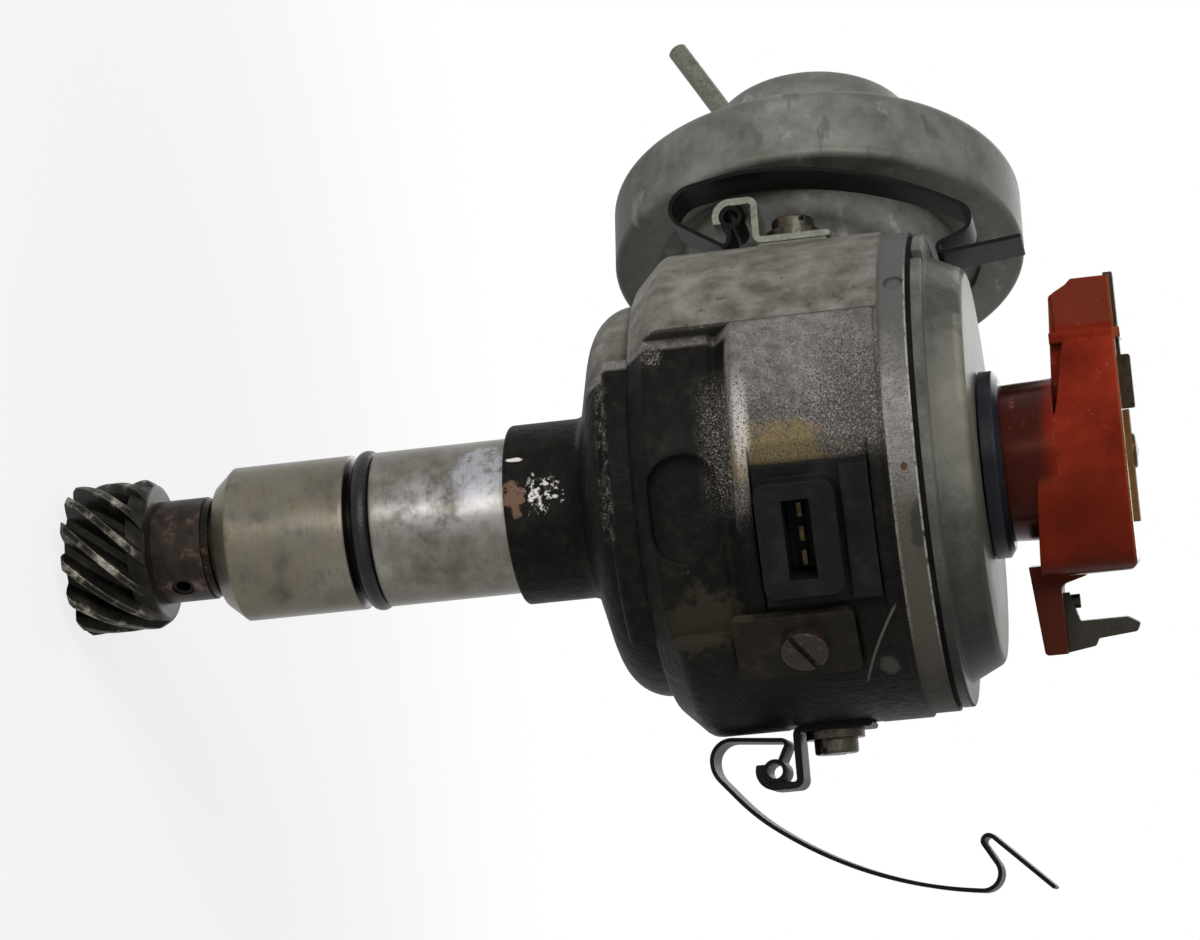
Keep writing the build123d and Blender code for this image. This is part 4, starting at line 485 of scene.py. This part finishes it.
# ---- metals -------------------------------------------------------------------------------------------
def dress_gear():
    """Dark oily steel with thin bright crests, where the teeth have run against their mate."""
    s = Shader("gear_steel", Metallic=0.5, Specular_IOR_Level=0.2)
    grain = s.noise(0.8, 5, 0.65)
    patch = s.noise(3.5, 4, 0.6, offset=5)
    crest = s.step(s.plus(s.radius, s.centred(grain, 0.4)), 12.5, 13.1)
    rubbed = s.blend(s.step(patch, 0.50, 0.68), s.edges(0.35, 10.0), 0.9)
    worn = s.times(crest, s.step(s.z, -65.2, -67.0), rubbed)
    dark = s.ramp(patch, (0.36, seen(15, 14, 11)), (0.52, seen(27, 25, 19)), (0.68, seen(48, 45, 35)))
    bright = s.ramp(
        s.blend(0.5, grain, patch),
        (0.38, seen(66, 62, 52)),
        (0.52, seen(112, 108, 95)),
        (0.66, seen(168, 164, 152)),
    )
    hub = s.step(s.z, -64.4, -63.6)
    brown = s.ramp(patch, (0.36, seen(25, 21, 18)), (0.56, seen(44, 35, 30)), (0.74, seen(98, 80, 70)))
    s.set("Base Color", s.mix(hub, s.mix(worn, dark, bright), brown))
    s.set("Roughness", s.blend(worn, 0.46, 0.26))
    s.bump(s.plus(s.times(grain, 0.5), s.times(patch, 0.5)), 0.12, rounding=0.25)
    s.dress("drive_gear")


def steel(name, colour, *dressed, rust=0.0, grease=0.5, roughness=0.32, metallic=0.85):
    """Plated or ground steel: fine grain, grease in patches, paler edges, and rust where it has spread.

    The rust runs from 0 to about 0.6, and the grease from 0 to 1 for patches that are black with it.
    """
    s = Shader(name, Specular_IOR_Level=0.2)
    grain = s.noise(0.45, 4, 0.6)
    patch = s.noise(3.6, 5, 0.62, offset=5)
    pale = shade(colour, 1.6)
    tint = s.ramp(s.blend(0.55, grain, patch), (0.36, shade(colour, 0.55)), (0.50, colour), (0.66, pale))
    tint = s.over(tint, s.step(patch, 0.50, 0.64), grease, shade(colour, 0.25))
    rusting = s.step(s.noise(2.0, 5, 0.7, offset=2), 0.64 - 0.26 * rust, 0.72 - 0.2 * rust)
    rusty = s.times(rusting, min(1.0, rust * 1.6))
    tint = s.mix(rusty, tint, s.ramp(grain, (0.35, seen(62, 40, 32)), (0.65, seen(112, 74, 54))))
    tint = s.over(tint, s.edges(0.3, 12.0), 0.35, pale)
    s.set("Base Color", tint)
    s.set("Metallic", s.blend(rusty, metallic, 0.1))
    s.set("Roughness", s.blend(rusty, s.blend(grain, roughness * 0.8, roughness * 1.3), 0.8))
    s.bump(s.plus(grain, s.times(patch, 0.6)), 0.06, rounding=0.2)
    s.dress(*dressed)


def dress_can():
    """Aged zinc plate: mid grey clouds, olive along the bends, brown and pale smears, and painted shade low
    down.
    """
    s = Shader("zinc_can", Metallic=0.2, Specular_IOR_Level=0.2)
    blotch = s.noise(14, 4, 0.55)
    cloud = s.noise(4.5, 5, 0.65, offset=4)
    grain = s.noise(0.55, 3, 0.6)
    tint = s.ramp(
        s.blend(0.5, blotch, cloud),
        (0.34, seen(76, 75, 68)),
        (0.48, seen(98, 97, 92)),
        (0.60, seen(114, 113, 109)),
        (0.72, seen(134, 133, 130)),
    )
    bends = s.times(s.edges(2.4, 8.0), s.step(cloud, 0.32, 0.56))
    tint = s.over(tint, bends, 0.75, seen(80, 80, 58))
    smear = s.noise(5.0, 4, 0.6, stretch=(0.3, 0.6, 1), offset=9)
    brown = s.times(s.step(smear, 0.58, 0.66), s.step(blotch, 0.44, 0.56))
    tint = s.over(tint, brown, 0.55, seen(70, 66, 58))
    pale = s.times(s.step(smear, 0.42, 0.34), s.step(cloud, 0.44, 0.6))
    tint = s.over(tint, pale, 0.6, seen(148, 147, 144))
    # Painted shade: darker low down, on the side facing away from the key lamp.
    low = s.step(s.plus(s.z, s.centred(cloud, 10)), 30, 14)
    tint = s.over(tint, low, 0.75, seen(40, 41, 34))
    tint = s.over(tint, s.step(grain, 0.36, 0.28), 0.35, seen(50, 48, 42))
    s.set("Base Color", tint)
    s.set("Roughness", s.blend(cloud, 0.40, 0.62))
    s.bump(s.plus(s.times(grain, 0.3), s.times(cloud, 0.8)), 0.10, rounding=0.6)
    s.dress("vacuum_can_front", "vacuum_can_rear")


def dress_black_strip():
    """Blackened spring steel, worn to brown along its edges."""
    s = Shader("black_strip", Metallic=0.05, Specular_IOR_Level=0.06)
    grain = s.noise(0.5, 4, 0.6)
    patch = s.noise(3.0, 5, 0.65, offset=6)
    tint = s.ramp(patch, (0.36, seen(6, 6, 6)), (0.54, seen(11, 10, 9)), (0.70, seen(24, 22, 19)))
    worn = s.times(s.edges(0.2, 12.0), s.step(grain, 0.40, 0.6))
    s.set("Base Color", s.over(tint, worn, 0.35, seen(70, 65, 58)))
    s.set("Roughness", s.blend(grain, 0.34, 0.55))
    s.bump(s.plus(grain, s.times(patch, 0.6)), 0.06, rounding=0.12)
    s.dress("spring_clip_a", "spring_clip_b", "clip_bracket_b")


# ---- mouldings, rubber and the rest -------------------------------------------------------------------
def dress_rotor():
    """Glossy deep red moulding: dark stem, sooty tail, dusty face, chalky marks with a painted sheen on the
    upper side, paler worn edges that also serve as painted highlights, and painted shade on the lower half.
    """
    s = Shader("rotor_moulding", IOR=1.5, Specular_IOR_Level=0.16, Specular_Tint=(1.0, 0.42, 0.28))
    cloud = s.noise(9, 3, 0.5)
    fine = s.noise(0.9, 4, 0.6, offset=3)
    tint = s.ramp(
        s.blend(0.2, cloud, fine),
        (0.34, seen(80, 17, 6)),
        (0.50, seen(102, 23, 9)),
        (0.68, seen(120, 32, 14)),
    )
    stem = s.times(s.step(s.radius, 14.6, 13.6), s.step(s.z, 94.0, 90.5))
    tint = s.over(tint, stem, 0.9, s.ramp(cloud, (0.4, seen(18, 7, 6)), (0.6, seen(38, 14, 12))))
    tail = s.times(s.step(s.x, 17.5, 22.5), s.step(s.z, 96.5, 91.5))
    tint = s.over(tint, tail, 0.9, seen(46, 28, 20))
    tip = s.step(s.x, -21.6, -22.4)
    tint = s.over(tint, tip, 0.6, seen(88, 40, 29))
    # Chalky marks, kept to the upper side as a painted sheen.
    chalk_and_sheen = s.times(s.step(s.noise(2.6, 5, 0.7, offset=13), 0.60, 0.72), s.step(s.x, 4, -10))
    tint = s.over(tint, chalk_and_sheen, 0.6, seen(134, 76, 62))
    # Worn edges, made pale so that they also serve as painted highlights.
    worn = s.times(s.edges(0.4, 12.0), s.step(fine, 0.35, 0.6))
    tint = s.over(tint, worn, 0.5, seen(170, 72, 44))
    shaded = s.step(s.plus(s.x, s.centred(cloud, 8)), -4, 12)
    tint = s.over(tint, shaded, 0.55, seen(52, 12, 5))
    face = s.step(s.z, 104.4, 104.9)
    tint = s.over(tint, face, 0.6, seen(120, 70, 38))
    s.set("Base Color", tint)
    s.set("Roughness", s.blend(s.most(tail, tip), s.blend(cloud, 0.16, 0.30), 0.45))
    s.bump(s.plus(s.times(cloud, 0.8), s.times(fine, 0.05)), 0.12, rounding=0.5)
    s.dress("rotor_arm")


def moulding(name, dark, pale, roughness, dust, *dressed, edge=0.3, specular=0.06):
    """Satin moulded plastic with dust in patches and rubbed edges."""
    s = Shader(name, IOR=1.5, Specular_IOR_Level=specular)
    grain = s.noise(0.4, 4, 0.6)
    patch = s.noise(5.0, 5, 0.62, offset=8)
    tint = s.ramp(s.blend(0.6, grain, patch), (0.36, dark), (0.66, pale))
    tint = s.over(tint, s.step(patch, 0.50, 0.68), dust, seen(62, 57, 49))
    s.set("Base Color", s.over(tint, s.edges(0.4, 12.0), edge, shade(pale, 2.2, 0.008)))
    s.set("Roughness", s.blend(patch, roughness * 0.8, roughness * 1.35))
    s.bump(s.plus(grain, s.times(patch, 0.6)), 0.06, rounding=0.35)
    s.dress(*dressed)


def dress_cover():
    """Dark satin cover: painted shade on its lower side, a pale band of painted sheen, olive cast on its
    face and a rubbed edge.
    """
    s = Shader("cover_moulding", IOR=1.5, Specular_IOR_Level=0.06)
    grain = s.noise(0.6, 3, 0.6)
    patch = s.noise(8.0, 4, 0.55, offset=8)
    tint = s.ramp(
        s.blend(0.25, patch, grain),
        (0.36, seen(62, 62, 59)),
        (0.50, seen(84, 83, 78)),
        (0.66, seen(108, 107, 99)),
    )
    # Painted shade: darker on the lower side.
    lower = s.step(s.plus(s.x, s.centred(patch, 14)), -4, 30)
    tint = s.over(tint, lower, 0.75, seen(34, 34, 32))
    # Painted sheen: a pale band where the lamps' highlight runs round the cover.
    painted_sheen = s.times(s.band(s.turn, -34, 2, 16), s.step(s.z, 74.8, 75.3))
    tint = s.over(tint, painted_sheen, 0.45, seen(142, 140, 130))
    face = s.step(s.z, 79.8, 80.9)
    tint = s.over(tint, face, 0.5, seen(70, 70, 56))
    rubbed = s.times(s.band(s.z, 79.6, 81.2, 0.3), s.step(s.x, 12, -20), s.step(patch, 0.40, 0.56))
    tint = s.over(tint, rubbed, 0.45, seen(140, 138, 124))
    groove = s.step(s.z, 73.5, 73.3)
    s.set("Base Color", s.mix(groove, tint, seen(14, 14, 14)))
    s.set("Roughness", s.blend(patch, 0.34, 0.48))
    s.bump(s.plus(s.times(grain, 0.3), s.times(patch, 0.7)), 0.06, rounding=0.5)
    s.dress("dust_cover")


def dress_rubber():
    """Black rubber with a dull, uneven skin. Its edges are round already."""
    s = Shader("black_rubber", IOR=1.5, Specular_IOR_Level=0.22)
    grain = s.noise(0.6, 4, 0.6)
    patch = s.noise(3.5, 4, 0.6, offset=2)
    s.set("Base Color", s.ramp(patch, (0.35, seen(7, 8, 9)), (0.70, seen(24, 24, 25))))
    s.set("Roughness", s.blend(grain, 0.26, 0.45))
    s.bump(s.plus(grain, s.times(patch, 1.5)), 0.10, rounding=0)
    s.dress("shank_o_ring", "vacuum_diaphragm")


def dress_winding():
    """Varnished copper wire, laid round the pole's stem."""
    s = Shader("winding", Metallic=0.5, Roughness=0.3)
    wave = s.add("ShaderNodeTexWave", wave_type="BANDS", bands_direction="X")
    s.link(s.place, wave.inputs["Vector"])
    s.link(1.6, wave.inputs["Scale"])
    s.link(0.6, wave.inputs["Distortion"])
    turns = wave.outputs["Fac"]
    s.set("Base Color", s.ramp(turns, (0.2, seen(96, 52, 30)), (0.8, seen(172, 112, 74))))
    s.bump(turns, 0.1, rounding=0.2)
    s.dress("pickup_coil")


def dress_felt():
    """Oiled felt, its fibres along the shaft."""
    s = Shader("felt", Roughness=0.95, Sheen_Weight=0.4)
    fibre = s.noise(0.35, 6, 0.75, stretch=(1, 1, 0.4))
    s.set("Base Color", s.ramp(fibre, (0.3, seen(110, 94, 64)), (0.7, seen(172, 156, 118))))
    s.bump(fibre, 0.25, rounding=0.3)
    s.dress("felt_wick")


def dress_all():
    dress_housing()
    dress_gear()
    dress_can()
    dress_black_strip()
    dress_rotor()
    dress_cover()
    dress_rubber()
    dress_winding()
    dress_felt()

    steel("bronze", seen(150, 118, 78), "lower_bush", "upper_bush")
    steel("ground_steel", seen(150, 148, 144),
          "shaft", "cam_sleeve", "weight_posts", "plate_pin", "pull_rod", "trigger_pin")
    steel("dark_steel", seen(30, 27, 23),
          "gear_pin", "thrust_washer", "thrust_shim", "upper_thrust_washer", rust=0.3)
    steel("plated_sheet", seen(150, 146, 132),
          "weight_carrier", "flyweight_a", "flyweight_b", "bearing_plate", "pickup_plate", "trigger_wheel",
          "diaphragm_cup_front", "diaphragm_cup_rear", "pole_piece", rust=0.15)
    steel("spring_wire", seen(122, 121, 118),
          "advance_springs", "vacuum_spring", "weight_clips", "spindle_circlip", "wheel_circlip",
          "plate_circlip", "rod_clip")
    steel("pale_zinc", seen(106, 106, 96),
          "clip_bracket_a", "vacuum_pipe", grease=0.4, roughness=0.42, metallic=0.4)
    steel("dull_zinc", seen(84, 83, 76), "vacuum_strap", grease=0.7, roughness=0.42, metallic=0.4)
    steel("screw_steel", seen(66, 63, 55),
          "clip_screws", "clip_washers", "bearing_plate_screws", "pickup_screws", rust=0.35, grease=0.8)
    steel("rusty_screw", seen(40, 34, 27), "clamp_screw", rust=0.35, grease=0.5, metallic=0.3)
    steel("burnt_brass", seen(50, 40, 27), "rotor_electrode", grease=0.8, roughness=0.45, metallic=0.5)
    steel("contact_brass", seen(64, 53, 30),
          "rotor_centre_contact", "connector_terminals", grease=0.9, metallic=0.6)
    steel("limiter_steel", seen(40, 37, 29), "rotor_limiter", rust=0.2, roughness=0.45, metallic=0.3)

    moulding("magnet", seen(38, 38, 38), seen(70, 70, 68), 0.6, 0.2, "pickup_magnet")
    moulding("greasy_clamp", seen(22, 20, 16), seen(40, 36, 29), 0.5, 0.35, "connector_clamp", edge=0.2)
    moulding("gasket_fibre", seen(12, 12, 11), seen(26, 25, 23), 0.7, 0.2, "cover_gasket", edge=0.1)
    moulding("collar_moulding", seen(16, 18, 21), seen(30, 33, 40), 0.28, 0.05, "dust_collar", specular=0.16)
    moulding("potting", seen(84, 60, 34), seen(128, 96, 56), 0.5, 0.2, "rotor_resistor")
    moulding("connector_moulding", seen(14, 14, 15), seen(26, 26, 27), 0.42, 0.12, "connector_body")


# ---- floor, light and camera --------------------------------------------------------------------------
def joined(tree, operation, a, b):
    """The two sockets' values joined into one number."""
    node = new_node(tree, "ShaderNodeMath", operation=operation)
    tree.links.new(a, node.inputs[0])
    tree.links.new(b, node.inputs[1])
    return node.outputs[0]


def shown_white(tree, shader, white, share=None):
    """Mixes plain white of strength 1 into a floor or sky, for the rays that show it: camera, glossy and
    transmission rays. A share, where there is one, says how white it is from place to place."""
    path = new_node(tree, "ShaderNodeLightPath")
    amount = path.outputs["Is Camera Ray"]
    for ray in ("Is Glossy Ray", "Is Transmission Ray"):
        amount = joined(tree, "MAXIMUM", amount, path.outputs[ray])
    if share is not None:
        amount = joined(tree, "MULTIPLY", amount, share)
    white.inputs["Color"].default_value = (1, 1, 1, 1)
    white.inputs["Strength"].default_value = 1.0
    mix = new_node(tree, "ShaderNodeMixShader")
    tree.links.new(amount, mix.inputs[0])
    tree.links.new(shader.outputs[0], mix.inputs[1])
    tree.links.new(white.outputs[0], mix.inputs[2])
    return mix.outputs[0]


def paper_material():
    """Pale paper that keeps the object's shadow near its foot and turns to plain white further out."""
    near, far = (0.10, 0.80), (0.45, 1.0)  # distances from the seat in metres, each with its share of white
    material = bpy.data.materials.new("floor_paper")
    material.use_nodes = True
    tree = material.node_tree
    tree.nodes.clear()
    paper = new_node(tree, "ShaderNodeBsdfDiffuse")
    paper.inputs["Color"].default_value = (0.86, 0.86, 0.86, 1)
    place = new_node(tree, "ShaderNodeNewGeometry")
    away = new_node(tree, "ShaderNodeVectorMath", operation="LENGTH")
    tree.links.new(place.outputs["Position"], away.inputs[0])
    fade = new_node(tree, "ShaderNodeMapRange", interpolation_type="SMOOTHSTEP")
    tree.links.new(away.outputs["Value"], fade.inputs["Value"])
    for end, (distance, share) in (("Min", near), ("Max", far)):
        fade.inputs["From " + end].default_value = distance
        fade.inputs["To " + end].default_value = share
    white = new_node(tree, "ShaderNodeEmission")
    out = new_node(tree, "ShaderNodeOutputMaterial")
    tree.links.new(shown_white(tree, paper, white, fade.outputs["Result"]), out.inputs["Surface"])
    return material


def make_floor():
    """A wide round floor, just under the gear."""
    mesh = bpy.data.meshes.new("floor")
    build = bmesh.new()
    bmesh.ops.create_circle(build, cap_ends=True, segments=64, radius=6.0)
    build.to_mesh(mesh)
    build.free()
    mesh.materials.append(paper_material())
    floor = bpy.data.objects.new("floor", mesh)
    floor.location = (0, 0, cad_box[0][2] - 2 * MM)
    bpy.context.scene.collection.objects.link(floor)


def make_world():
    """Soft light from all round, behind a white background."""
    world = bpy.data.worlds.new("studio")
    bpy.context.scene.world = world
    world.use_nodes = True
    tree = world.node_tree
    sky = tree.nodes["Background"]
    sky.inputs["Color"].default_value = (1, 1, 1, 1)
    sky.inputs["Strength"].default_value = 0.24
    white = new_node(tree, "ShaderNodeBackground")
    tree.links.new(shown_white(tree, sky, white), tree.nodes["World Output"].inputs["Surface"])


def lamp(name, position, target, size, watts):
    """A round lamp that faces its target. The size is in metres."""
    light = bpy.data.lights.new(name, "AREA")
    light.shape = "DISK"
    light.size = size
    light.energy = watts
    obj = bpy.data.objects.new(name, light)
    obj.location = position
    aim = (Vector(target) - Vector(position)).to_track_quat("-Z", "Y")
    obj.rotation_euler = aim.to_euler()
    bpy.context.scene.collection.objects.link(obj)


def make_camera():
    """The object stands on its gear and is shown lying, so the camera is rolled on its side."""
    place = (0.0048, -0.6472, 0.1196)
    right = Vector((0.1042, 0.1608, 0.9815))
    up = Vector((-0.9944, 0.0, 0.1056))
    back = right.cross(up).normalized()
    up = back.cross(right).normalized()
    turn = Matrix((right.normalized(), up, back)).transposed().to_4x4()
    camera = bpy.data.objects.new("camera", bpy.data.cameras.new("camera"))
    camera.data.lens = 113.7
    camera.data.sensor_width = 36.0
    camera.data.clip_end = 50
    camera.matrix_world = Matrix.Translation(place) @ turn
    bpy.context.scene.collection.objects.link(camera)
    bpy.context.scene.camera = camera


dress_all()
make_floor()
make_world()
lamp("key", (-0.52, -0.84, 0.42), (0, 0, 0.02), size=0.45, watts=6.6)
lamp("sheen", (-0.12, -0.30, -0.02), (0, 0, 0), size=0.10, watts=0.22)
lamp("fill", (0.55, -0.85, 0.0), (0, 0, 0.02), size=0.7, watts=0.3)
lamp("back", (-0.25, 0.95, 0.35), (0, 0, 0.05), size=0.7, watts=2.5)
make_camera()
bpy.context.scene.view_settings.view_transform = "Standard"
